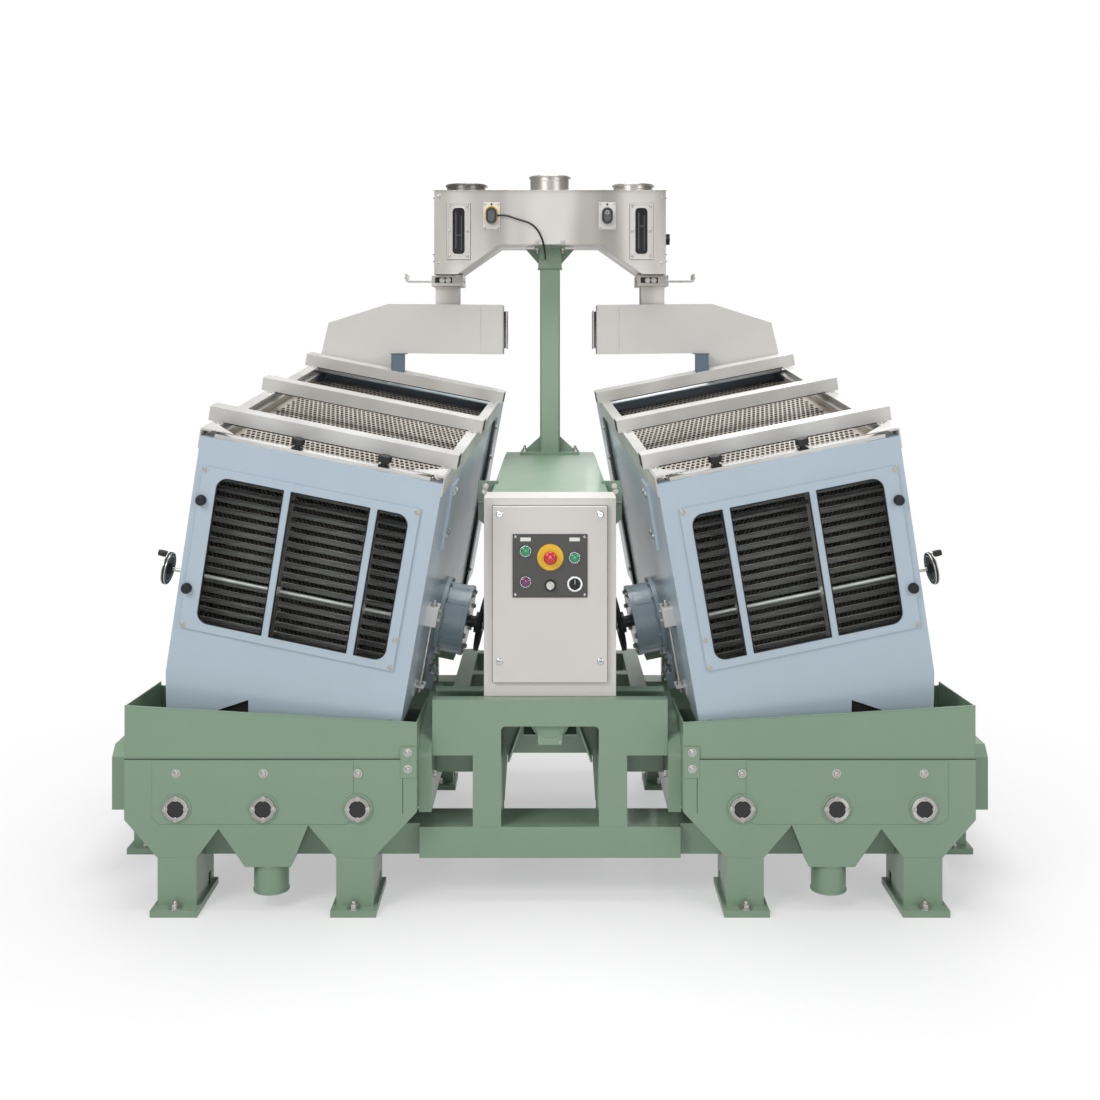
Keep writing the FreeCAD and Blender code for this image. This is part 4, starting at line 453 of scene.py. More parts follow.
# Tray metal darkened: painted shade on the bosses seen between the lower trays.
SHADED_TRAY_BOSS = Finish("tray_boss_in_painted_shade", Kind.CAST, "6A6157", "tray_sheet", "8A8175", 0.6, wear_and_highlight=0.0, dust=0.0)
CASTING = Finish(
    "painted_casting", Kind.CAST, "BACDDA", "cast_drum", "7F929F",
    0.34, coat=0.5, bump=0.35, dust=0.05,
)
BLACK = Finish("black_plastic", Kind.PLASTIC, "101113", "black_plastic", "26272A", 0.5, wear_and_highlight=0.2, dust=0.0)
SMOKED = Finish(
    "smoked_lens", Kind.PLASTIC, "121317", "black_plastic", "2A2B2E",
    0.25, coat=0.1, wear_and_highlight=0.0, dust=0.0,
)
GREY_PLASTIC = Finish(
    "grey_plastic", Kind.PLASTIC, "56575A", "black_plastic", "7A7B7E",
    0.4, wear_and_highlight=0.2, dust=0.04,
)
CLEAR = Finish("clear_sheet", Kind.GLASS, "F2F6F6", "clear_pane", roughness=0.02, dust=0.05)
CABLE = Finish("cable_sheath", Kind.PLASTIC, "141517", "cable_skin", "303234", 0.45, wear_and_highlight=0.1, dust=0.05)
GREEN_CAP = Finish(
    "green_cap", Kind.PLASTIC, "139060", "green_plastic", "3FB07A",
    0.2, coat=0.6, wear_and_highlight=0.0, dust=0.0,
)
RED_CAP = Finish(
    "red_cap", Kind.PLASTIC, "C8202A", "red_plastic", "D84A50",
    0.2, coat=0.6, wear_and_highlight=0.0, dust=0.0,
)
VIOLET_CAP = Finish(
    "violet_cap", Kind.PLASTIC, "6E2A5C", "violet_plastic", "8E4A7C",
    0.2, coat=0.6, wear_and_highlight=0.0, dust=0.0,
)
WHITE_CAP = Finish("white_cap", Kind.PLASTIC, "E4E3DE", "white_plastic", "C8C7C2", 0.3, wear_and_highlight=0.0, dust=0.0)
CHROME = Finish(
    "polished_ring", Kind.BRUSHED, "C9CCCE", "chrome_ring", "9FA3A6",
    0.18, metallic=1.0, dust=0.0,
)
YELLOW = Finish("yellow_ring", Kind.PLASTIC, "E8B90F", "white_plastic", "F0CF5A", 0.35, wear_and_highlight=0.0, dust=0.0)
TRAY_LIP = Finish("tray_lip_grey", Kind.PLASTIC, "5A5855", "painted_dark", "A5A29C", 0.36, wear_and_highlight=0.5, dust=0.0)
GASKET = Finish("black_gasket", Kind.PLASTIC, "101112", "black_plastic", "2A2B2C", 0.6, wear_and_highlight=0.0, dust=0.03)


class Paints:
    """Makes each finish into a material once, and puts it on pieces."""

    def __init__(self) -> None:
        """Build the shared effects."""
        self.effects = EffectLibrary()
        self.made: dict[str, bpy.types.Material] = {}

    def get(self, finish: Finish) -> bpy.types.Material:
        """Return the material of a finish."""
        if finish.name not in self.made:
            self.made[finish.name] = finish.material(self.effects)
        return self.made[finish.name]

    def coat_node(self, node: bpy.types.Object, finish: Finish) -> None:
        """Give a CAD node's object its finish."""
        for holder in node.material_slots:
            holder.material = self.get(finish)


def inset(outline: Sequence[Pair], amount: float) -> list[Pair]:
    """Return a counter-clockwise outline moved inwards by amount, with mitred corners."""
    moved = []
    count = len(outline)
    for index, (x, y) in enumerate(outline):
        before = Vector(outline[index - 1])
        after = Vector(outline[(index + 1) % count])
        here = Vector((x, y))
        way_in = (here - before).normalized()
        way_out = (after - here).normalized()
        first = Vector((-way_in.y, way_in.x))
        second = Vector((-way_out.y, way_out.x))
        shift = (first + second) * (amount / max(1 + first.dot(second), 0.3))
        moved.append((x + shift.x, y + shift.y))
    return moved


class Shaper:
    """Collects mesh forms into one object."""

    def __init__(self, name: str) -> None:
        """Start an empty mesh."""
        self.name = name
        self.mesh = bmesh.new()

    def _ring(self, outline: Sequence[Pair], place: Matrix, height: float) -> list[bmesh.types.BMVert]:
        """Add the points of an outline at a height above place."""
        return [self.mesh.verts.new(place @ Vector((x, y, height))) for x, y in outline]

    def join(self, rings: Sequence[list[bmesh.types.BMVert]], closed: bool) -> None:
        """Add the faces from each ring to the next, where a ring may be a single point."""
        following = rings[1:] + rings[:1] if closed else rings[1:]
        for lower, upper in zip(rings, following):
            count = max(len(lower), len(upper))
            for step in range(count):
                after = (step + 1) % count
                first, second = lower[step % len(lower)], lower[after % len(lower)]
                third, fourth = upper[after % len(upper)], upper[step % len(upper)]
                corners = list(dict.fromkeys((first, second, third, fourth)))
                if len(corners) > 2:
                    self.mesh.faces.new(corners)

    def lathe(self, profile: Iterable[Pair], place: Matrix, steps: int = 24, closed: bool = False) -> None:
        """Turn a profile of (radius, height) points about the local Z of place.

        Args:
            profile: points from the lower to the upper end.
            place: the pose of the turned form.
            steps: how many facets go round.
            closed: True joins the profile's ends into a ring.
        """
        rings = []
        for radius, height in profile:
            if radius < 1e-7:
                rings.append([self.mesh.verts.new(place @ Vector((0, 0, height)))])
            else:
                rings.append(self._ring(ring_points(radius, steps), place, height))
        self.join(rings, closed)
        for ring, flip in ((rings[0], True), (rings[-1], False)):
            if len(ring) > 2 and not closed:
                self.mesh.faces.new(ring[::-1] if flip else ring)

    def slab(self, outline: Sequence[Pair], depth: float, place: Matrix, edge: float = 0.0) -> None:
        """Raise a flat outline by depth along the local Z of place, with a chamfered top.

        Args:
            outline: corner points, counter-clockwise seen from above.
            depth: the height of the form.
            place: the pose of the form.
            edge: the width of the chamfer round the top.
        """
        rings = []
        for height, amount in ((0.0, 0.0), (depth - edge, 0.0), (depth, edge)):
            rings.append(self._ring(inset(outline, amount) if amount else outline, place, height))
        self.join(rings, False)
        self.mesh.faces.new(rings[0][::-1])
        self.mesh.faces.new(rings[-1])

    def band(self, outer: Sequence[Pair], inner: Sequence[Pair], depth: float, place: Matrix) -> None:
        """Raise the strip between two outlines with as many points by depth along the local Z of place."""
        levels = ((outer, 0.0), (outer, depth), (inner, depth), (inner, 0.0))
        self.join([self._ring(outline, place, height) for outline, height in levels], True)

    def finish(self, paints: Paints, finish: Finish, body: str, angle: float = 35.0) -> bpy.types.Object:
        """Make the object, shade it, dress it and let it ride on a body.

        Args:
            paints: the material maker.
            finish: the finish that covers the piece.
            body: the body that carries it.
            angle: edges sharper than this many degrees stay crisp.

        Returns:
            The new object.
        """
        data = bpy.data.meshes.new(self.name)
        bmesh.ops.recalc_face_normals(self.mesh, faces=self.mesh.faces)
        self.mesh.to_mesh(data)
        self.mesh.free()
        for face in data.polygons:
            face.use_smooth = True
        data.set_sharp_from_angle(angle=math.radians(angle))
        piece = placed(self.name, data)
        data.materials.append(paints.get(finish))
        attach(piece, body)
        log.info("piece %s rides on %s, %d faces", self.name, body, len(data.polygons))
        return piece


def ring_points(radius: float, count: int, start: float = 0.0) -> list[Pair]:
    """Return evenly spaced points round a circle."""
    turns = [start + 2 * math.pi * step / count for step in range(count)]
    return [(radius * math.cos(turn), radius * math.sin(turn)) for turn in turns]


def rounded_box(
    left: float, right: float, low: float, high: float, corners: Pair, steps: int = 8,
) -> list[Pair]:
    """Return a box's counter-clockwise outline, with one radius for its left corners and one for its right."""
    near, far = corners
    spots = (
        (right - far, high - far, far), (left + near, high - near, near),
        (left + near, low + near, near), (right - far, low + far, far),
    )
    points = []
    for quarter, (x, y, radius) in enumerate(spots):
        for step in range(steps + 1):
            turn = math.pi / 2 * (quarter + step / steps)
            points.append((x + radius * math.cos(turn), y + radius * math.sin(turn)))
    return points


def rounded_rectangle(width: float, height: float, corner: float, steps: int = 5) -> list[Pair]:
    """Return the outline of a rectangle with round corners about its middle, counter-clockwise."""
    return rounded_box(-width / 2, width / 2, -height / 2, height / 2, (corner, corner), steps)


def bar_profile(radius: float, length: float) -> Profile:
    """Return the profile of a plain round bar."""
    return ((0.0, 0.0), (radius, 0.0), (radius, length), (0.0, length))


def facing(place: Vector, outward: Vector) -> Matrix:
    """Return a pose at place whose local Z looks along outward."""
    return Matrix.Translation(place) @ outward.to_track_quat("Z", "Y").to_matrix().to_4x4()


def lifted(pose: Matrix, height: float) -> Matrix:
    """Return a pose moved along its own local Z."""
    return pose @ Matrix.Translation((0.0, 0.0, height))


def dome_screw(shaper: Shaper, pose: Matrix, radius: float) -> None:
    """Add a domed socket screw with its recess and washer."""
    height = radius * 0.75
    recess = radius * 0.38
    profile = [
        (radius * 1.5, 0.0), (radius * 1.5, radius * 0.16), (radius * 1.02, radius * 0.2),
        (radius, height * 0.55), (radius * 0.78, height * 0.9), (recess * 1.1, height),
        (recess, height * 0.96), (recess * 0.9, height * 0.5), (0.0, height * 0.45),
    ]
    shaper.lathe(profile, pose, 14)


def hex_bolt(shaper: Shaper, pose: Matrix, flats: float) -> None:
    """Add a hexagon head with a chamfered top on a washer."""
    radius = flats / math.sqrt(3)
    shaper.lathe([(flats * 0.85, 0.0), (flats * 0.85, flats * 0.1), (flats * 0.5, flats * 0.1)], pose, 20)
    shaper.slab(ring_points(radius, 6), flats * 0.5, lifted(pose, flats * 0.1), flats * 0.05)


def tube_round(shaper: Shaper, points: Sequence[Vector], radius: float, steps: int = 8) -> None:
    """Add a closed round bar through the points, such as a rim or weld bead."""
    count = len(points)
    rings = []
    for index, point in enumerate(points):
        ahead = (points[(index + 1) % count] - points[index - 1]).normalized()
        side = ahead.orthogonal().normalized() if index == 0 else (side - ahead * side.dot(ahead)).normalized()
        other = ahead.cross(side)
        circle = [point + (side * across + other * up) * radius for across, up in ring_points(1.0, steps)]
        rings.append([shaper.mesh.verts.new(spot) for spot in circle])
    shaper.join(rings, True)


def box_outline(left: float, right: float, low: float, high: float) -> list[Pair]:
    """Return the outline of a plain rectangle, counter-clockwise."""
    return [(left, low), (right, low), (right, high), (left, high)]


def hexagon_nut(shaper: Shaper, pose: Matrix, flats: float, stud: float = 0.0) -> None:
    """Add a nut on its washer, with the end of its stud."""
    hex_bolt(shaper, pose, flats)
    if stud:
        end = [(flats * 0.3, 0.0), (flats * 0.3, stud - flats * 0.08), (flats * 0.24, stud), (0.0, stud)]
        shaper.lathe(end, pose, 12)


def threaded(shaper: Shaper, pose: Matrix, core: float, crest: float, pitch: float, length: float) -> None:
    """Add the thread of a rod as a run of ridges along the local Z of pose."""
    profile = [(core, 0.0)]
    for turn in range(int(length / pitch)):
        profile += [(crest, (turn + 0.4) * pitch), (core, (turn + 1) * pitch)]
    shaper.lathe(profile, pose, 12)


@dataclass(frozen=True)
class Site:
    """Where the machine's main planes lie in the frame, read from the CAD nodes."""

    front: float
    deck_corner: Point = (-1.1928, 0.075, 0.714)
    deck_angles: Point = (-3.5, 11.0, 8.0)

    @classmethod
    def measured(cls) -> "Site":
        """Read the plane of the hopper's front from the frame."""
        return cls(front=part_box("left_hopper")[0].y)

    def at(self, x: float, y: float, z: float) -> Vector:
        """Return a point counted from the hopper's front plane."""
        return Vector((x, y + self.front, z))

    def deck(self, side: float) -> Matrix:
        """Return the pose of one deck.

        Args:
            side: 1 for the left deck, -1 for the right one.

        Returns:
            The matrix from deck directions to the machine's frame.
        """
        turn, lean, rise = (math.radians(a) for a in self.deck_angles)
        spin = Matrix.Rotation(turn, 4, "Z") @ Matrix.Rotation(lean, 4, "Y") @ Matrix.Rotation(rise, 4, "X")
        pose = Matrix.Translation(self.at(*self.deck_corner)) @ spin
        return pose if side > 0 else Matrix.Diagonal((-1.0, 1.0, 1.0, 1.0)) @ pose


@dataclass
class Studio:
    """The floor, backdrop, lamps and camera."""

    camera_distance: float = 4.27
    camera_height: float = 1.714
    lens: float = 45.82
    shift: float = -0.1818
    floor_half: float = 14.0

    def build(self, site: Site) -> None:
        """Set up everything that isn't the machine."""
        self._camera(site)
        self._floor()
        self._world()
        self._lamps(site)

    def _camera(self, site: Site) -> None:
        """Place the camera level with the crossbars, looking straight to the rear."""
        data = bpy.data.cameras.new("camera")
        data.lens = self.lens
        data.sensor_width = 36.0
        data.shift_y = self.shift
        data.clip_end = 60.0
        camera = placed("camera", data)
        camera.location = site.at(0.0, -self.camera_distance, self.camera_height)
        camera.rotation_euler = (math.radians(90), 0.0, 0.0)
        bpy.context.scene.camera = camera

    def _floor(self) -> None:
        """Lay a pale floor that shows white to the camera away from the shadow, and mixes in a painted glow
        that lightens the shadow itself.
        """
        half = self.floor_half
        corners = [(x, y, 0.0) for x, y in box_outline(-half, half, -half, half)]
        data = bpy.data.meshes.new("studio_floor")
        data.from_pydata(corners, [], [(0, 1, 2, 3)])
        floor = placed("studio_floor", data)
        material = bpy.data.materials.new("studio_floor")
        material.use_nodes = True
        build = NodeBuilder(material.node_tree)
        shader = material.node_tree.nodes["Principled BSDF"]
        shader.inputs["Roughness"].default_value = 0.6
        place = build.place()
        length = build.add("ShaderNodeVectorMath", operation="LENGTH")
        build.link(place, length.inputs[0])
        far = build.ramp(length.outputs["Value"], 1.2, 2.8)
        # Near the machine a 0.45 share of white glow stays mixed in: painted light that lightens the floor's
        # shadow there.
        far = build.math("ADD", build.math("MULTIPLY", far, 0.55), 0.45, clamp=True)
        glow = build.add("ShaderNodeEmission")
        blend = build.add("ShaderNodeMixShader")
        seen = build.add("ShaderNodeLightPath")
        pale = build.mix(build.noise(place, 3.0), (0.84, 0.84, 0.84, 1), (0.88, 0.88, 0.88, 1))
        tone = build.mix(seen.outputs["Is Diffuse Ray"], pale, (0.5, 0.5, 0.5, 1))
        build.link(tone, shader.inputs["Base Color"])
        visible = build.math("MAXIMUM", seen.outputs["Is Camera Ray"], seen.outputs["Is Glossy Ray"])
        visible = build.math("MAXIMUM", visible, seen.outputs["Is Transmission Ray"])
        build.link(build.math("MULTIPLY", far, visible), blend.inputs[0])
        build.link(shader.outputs[0], blend.inputs[1])
        build.link(glow.outputs[0], blend.inputs[2])
        build.link(blend.outputs[0], material.node_tree.nodes["Material Output"].inputs["Surface"])
        data.materials.append(material)

    def _world(self) -> None:
        """Fill the room with soft light and show it as white."""
        world = bpy.data.worlds.new("studio_world")
        bpy.context.scene.world = world
        world.use_nodes = True
        build = NodeBuilder(world.node_tree)
        back = world.node_tree.nodes["Background"]
        seen = build.add("ShaderNodeLightPath")
        visible = build.math("MAXIMUM", seen.outputs["Is Camera Ray"], seen.outputs["Is Transmission Ray"])
        node = build.add("ShaderNodeMapRange")
        build.link(visible, node.inputs["Value"])
        node.inputs["To Min"].default_value = 0.34
        node.inputs["To Max"].default_value = 1.0
        build.link(node.outputs["Result"], back.inputs["Strength"])
        back.inputs["Color"].default_value = (1.0, 1.0, 1.0, 1.0)

    def _lamps(self, site: Site) -> None:
        """Hang the soft boxes."""
        target = site.at(0.0, 0.6, 1.0)
        boxes = [
            ("key", (-3.2, -3.6, 4.2), 2.4, 135.0), ("fill", (3.6, -3.4, 2.8), 2.4, 62.0),
            ("top", (0.0, 0.8, 5.2), 3.0, 190.0), ("rear", (1.5, 5.2, 3.6), 3.0, 70.0),
            ("low", (0.0, -5.0, 1.2), 1.6, 30.0),
        ]
        for name, spot, size, power in boxes:
            data = bpy.data.lights.new(name, "AREA")
            data.size = size
            data.energy = power
            lamp = placed(name, data)
            lamp.location = site.at(*spot)
            lamp.rotation_euler = (target - lamp.location).to_track_quat("-Z", "Y").to_euler()


@dataclass(frozen=True)
class Bench:
    """The machine's planes and paints, with the poses that fittings are built on."""

    site: Site
    paints: Paints

    def face(self, place: Point, outward: Point = FORWARD) -> Matrix:
        """Return a pose on the standing machine.

        Args:
            place: the point, counted from the hopper's front plane.
            outward: where the pose's local Z looks, the front unless said.
        """
        return facing(self.site.at(*place), Vector(outward))

    def deck_face(self, sign: float, place: Point, outward: Point = FORWARD) -> Matrix:
        """Return a pose on a deck, in the deck's own directions."""
        return self.site.deck(sign) @ facing(Vector(place), Vector(outward))

    def keep(self, shaper: Shaper, finish: Finish, body: str) -> None:
        """Finish a form and let it ride on a body."""
        shaper.finish(self.paints, finish, body)


@dataclass
class NodeDress:
    """Puts a finish on each CAD node that stays in view."""

    single: dict[str, Finish] = field(default_factory=lambda: {
        "front_frame": FRAME_PAINT, "base_beams": FRAME_PAINT, "cheeks": FRAME_PAINT, "legs": FRAME_PAINT,
        "bed_frames": FRAME_PAINT, "drive_motor": FRAME_PAINT, "pedestal": FRAME_PAINT,
        "mast": FRAME_PAINT, "hopper_covers": FRAME_PAINT, "left_hopper": FRAME_PAINT,
        "right_hopper": FRAME_PAINT, "frame_bolts": ZINC, "sight_glass_rings": STEEL,
        "sight_glass_lenses": SMOKED, "cabinet_body": CABINET_PAINT, "cabinet_door": CABINET_PAINT,
        "control_panel": PLATE_PAINT, "door_fittings": CHROME, "feeder_casing": STEEL,
        "feeder_windows": SMOKED, "inlet_spigots": SPOUT_STEEL, "level_sensors": GREY_PLASTIC,
        "sensor_cable": CABLE, "star_knob": BLACK, "start_button": GREEN_CAP, "feed_button": GREEN_CAP,
        "stop_button": VIOLET_CAP, "stop_mushroom": RED_CAP, "key_switch": WHITE_CAP,
        "rotary_switch": BLACK,
    })
    paired: dict[str, Finish] = field(default_factory=lambda: {
        "deck_casing": DECK_PAINT, "window_cover": DECK_PAINT, "window_pane": CLEAR, "trays": TRAY,
        "top_frame": ALLOY, "deck_knobs": BLACK, "inlet_hood": HOOD_PAINT, "drive_drum": CASTING,
        "side_fittings": DECK_PAINT, "front_rocker": DARK_PAINT, "rear_rocker": DARK_PAINT,
        "drive_shaft": DARK_PAINT, "spindle": ZINC, "dividers": STEEL, "slide_gate": STEEL,
    })

    def apply(self, nodes: dict[str, bpy.types.Object], paints: Paints) -> None:
        """Dress every node.

        Args:
            nodes: the CAD nodes by name.
            paints: the material maker.
        """
        finishes = dict(self.single)
        for side, _ in SIDES:
            for name, finish in self.paired.items():
                finishes[side + "_" + name] = finish
        for name, finish in finishes.items():
            paints.coat_node(nodes[name], finish)
            log.info("node %s wears %s", name, finish.name)


@dataclass
class SensorCable:
    """The thin cable from the left level sensor over to the mast's sleeve."""

    diameter: float = 0.008
    length: float = 0.383
    route: tuple[Point, ...] = (
        (-0.2072, 1.2000, 2.2400), (-0.1820, 1.1990, 2.2415), (-0.1570, 1.1940, 2.2360),
        (-0.1320, 1.1880, 2.2260), (-0.1060, 1.1830, 2.2180), (-0.0800, 1.1810, 2.2090),
        (-0.0560, 1.1840, 2.1920), (-0.0380, 1.1900, 2.1660), (-0.0270, 1.2020, 2.1360),
        (-0.0210, 1.2220, 2.1060), (-0.0190, 1.2490, 2.0870), (-0.0190, 1.2780, 2.0780),
        (-0.0185, 1.3060, 2.0760), (-0.0180, 1.3330, 2.0790),
    )

    def build(self, site: Site, paints: Paints) -> None:
        """Lay the cable as one smooth line."""
        curve = bpy.data.curves.new("sensor_cable_line", "CURVE")
        curve.dimensions = "3D"
        curve.bevel_depth = self.diameter / 2
        curve.bevel_resolution = 4
        curve.resolution_u = 12
        curve.use_fill_caps = True
        spline = curve.splines.new("NURBS")
        spline.points.add(len(self.route) - 1)
        for knot, point in zip(spline.points, self.route):
            knot.co = (*site.at(*point), 1.0)
        spline.order_u = 3
        spline.use_endpoint_u = True
        piece = placed("sensor_cable_line", curve)
        curve.materials.append(paints.get(CABLE))
        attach(piece, "frame")
        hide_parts("sensor_cable")
        log.info("cable laid through %d points", len(self.route))


@dataclass(frozen=True)
class HopperFittings:
    """Screws, rims and seams of the two outlet hoppers."""

    outer: float = 1.299
    inner: float = 0.406
    rims: Pair = (0.627, 0.575)
    rim_front: float = 0.006
    rim_radius: float = 0.003
    seam: float = 0.466
    seam_end: float = 0.449
    seam_drop: float = 0.165
    seam_depth: float = 0.0006
    cover_face: float = -0.002
    ring_face: float = -0.010
    glass_x: tuple[float, ...] = (1.140, 0.874, 0.586)
    glass_z: float = 0.316
    lens_rim: Profile = ((0.0262, 0.0), (0.0292, 0.0), (0.0288, 0.0026), (0.0268, 0.0026))
    screw_circle: float = 0.0318
    ring_screw: float = 0.0054
    cover_screw: float = 0.0092
    cover_screw_z: float = 0.423
    tab_screw: float = 0.0088
    tab_screws: tuple[Pair, ...] = ((0.434, 0.4865), (0.434, 0.4365))
    spout: Point = (0.860, 0.056, 0.049)
    spout_beads: tuple[Pair, ...] = ((0.004, 0.0555), (0.086, 0.0560))
    bead_depth: float = 0.004
    bead_half: float = 0.0035

    def build(self, bench: Bench) -> None:
        """Make the fittings of both hoppers."""
        for side, sign in SIDES:
            self._screws(side, sign, bench)
            self._rims(side, sign, bench)
            self._seams(side, sign, bench)

    def _screws(self, side: str, sign: float, bench: Bench) -> None:
        """Make the domed screws of the cover, the tab and the sight glasses."""
        screws = Shaper(side + "_hopper_screws")
        for x in self.glass_x:
            for across, up in ring_points(self.screw_circle, 4):
                spot = (-sign * x + across, self.ring_face, self.glass_z + up)
                dome_screw(screws, bench.face(spot), self.ring_screw)
            dome_screw(screws, bench.face((-sign * x, self.cover_face, self.cover_screw_z)), self.cover_screw)
        for x, z in self.tab_screws:
            dome_screw(screws, bench.face((-sign * x, self.cover_face, z)), self.tab_screw)
        bench.keep(screws, ZINC, "frame")
        rings = Shaper(side + "_lens_rims")
        for x in self.glass_x:
            rings.lathe(self.lens_rim, bench.face((-sign * x, self.ring_face, self.glass_z)), 36, closed=True)
        bench.keep(rings, ALLOY, "frame")

    def _rims(self, side: str, sign: float, bench: Bench) -> None:
        """Fold the upper edge and bead the middle spout."""
        rim = Shaper(side + "_hopper_rim")
        start = bench.site.at(-sign * self.outer, self.rim_front, self.rims[0])
        end = bench.site.at(-sign * self.inner, self.rim_front, self.rims[1])
        rim.lathe(bar_profile(self.rim_radius, (end - start).length), facing(start, end - start), 10)
        x, y, z = self.spout
        for height, radius in self.spout_beads:
            low, high = height - self.bead_half, height + self.bead_half
            inside = radius - self.bead_depth
            ring = [(inside, low), (radius, low), (radius, high), (inside, high)]
            rim.lathe(ring, Matrix.Translation(bench.site.at(-sign * x, y, z)), 32, closed=True)
        bench.keep(rim, FRAME_PAINT, "frame")

    def _seams(self, side: str, sign: float, bench: Bench) -> None:
        """Draw the dark joint between the hopper's front sheets."""
        seam = Shaper(side + "_hopper_seam")
        left, right = sorted((-sign * self.outer, -sign * self.seam_end))
        face = bench.face((0.0, 0.0, self.seam))
        seam.slab(box_outline(left, right, -0.0014, 0.0010), self.seam_depth, face)
        edge = -sign * self.seam_end
        seam.slab(box_outline(edge - 0.0008, edge + 0.0008, -self.seam_drop, 0.0), self.seam_depth, face)
        bench.keep(seam, GASKET, "frame")


@dataclass(frozen=True)
class FrameFittings:
    """Screws, nuts, ledges and a rim of the welded base, the motor and the pedestal's stop brackets."""

    bracket_bolts: tuple[Point, ...] = ((0.219, 0.500, 1.250), (0.223, 0.500, 1.232), (0.216, 0.500, 1.214))
    bracket_flats: float = 0.012
    anchors: Pair = (1.1375, 0.595)
    anchor_y: float = -0.021
    foot_top: float = 0.020
    anchor_flats: float = 0.024
    anchor_stud: float = 0.022
    terminal: Point = (0.0, 0.104, 0.503)
    terminal_screws: Pair = (0.030, 0.015)
    terminal_screw: float = 0.0028
    ledge: Point = (0.212, 0.500, 1.196)
    ledge_size: Point = (0.033, 0.004, 0.012)
    motor: Point = (0.0, 0.112, 0.557)
    motor_rim: Profile = ((0.030, 0.0), (0.058, 0.0), (0.054, 0.010), (0.030, 0.014), (0.0, 0.014))

    def build(self, bench: Bench) -> None:
        """Make the base's small pieces."""
        bolts = Shaper("stop_bracket_bolts")
        for _, sign in SIDES:
            for x, y, z in self.bracket_bolts:
                hex_bolt(bolts, bench.face((-sign * x, y, z)), self.bracket_flats)
        x, y, z = self.terminal
        half_width, half_height = self.terminal_screws
        for across in (-half_width, half_width):
            for up in (-half_height, half_height):
                dome_screw(bolts, bench.face((x + across, y, z + up)), self.terminal_screw)
        for _, sign in SIDES:
            for x in self.anchors:
                seat = bench.face((-sign * x, self.anchor_y, self.foot_top), (0.0, 0.0, 1.0))
                hexagon_nut(bolts, seat, self.anchor_flats, self.anchor_stud)
        bench.keep(bolts, ZINC, "frame")
        ledges = Shaper("stop_bracket_ledges")
        half_width, half_height, depth = self.ledge_size
        x, y, z = self.ledge
        for _, sign in SIDES:
            outline = box_outline(-half_width, half_width, -half_height, half_height)
            ledges.slab(outline, depth, bench.face((-sign * x, y, z)), 0.001)
        ledges.lathe(self.motor_rim, bench.face(self.motor), 40)
        bench.keep(ledges, FRAME_PAINT, "frame")


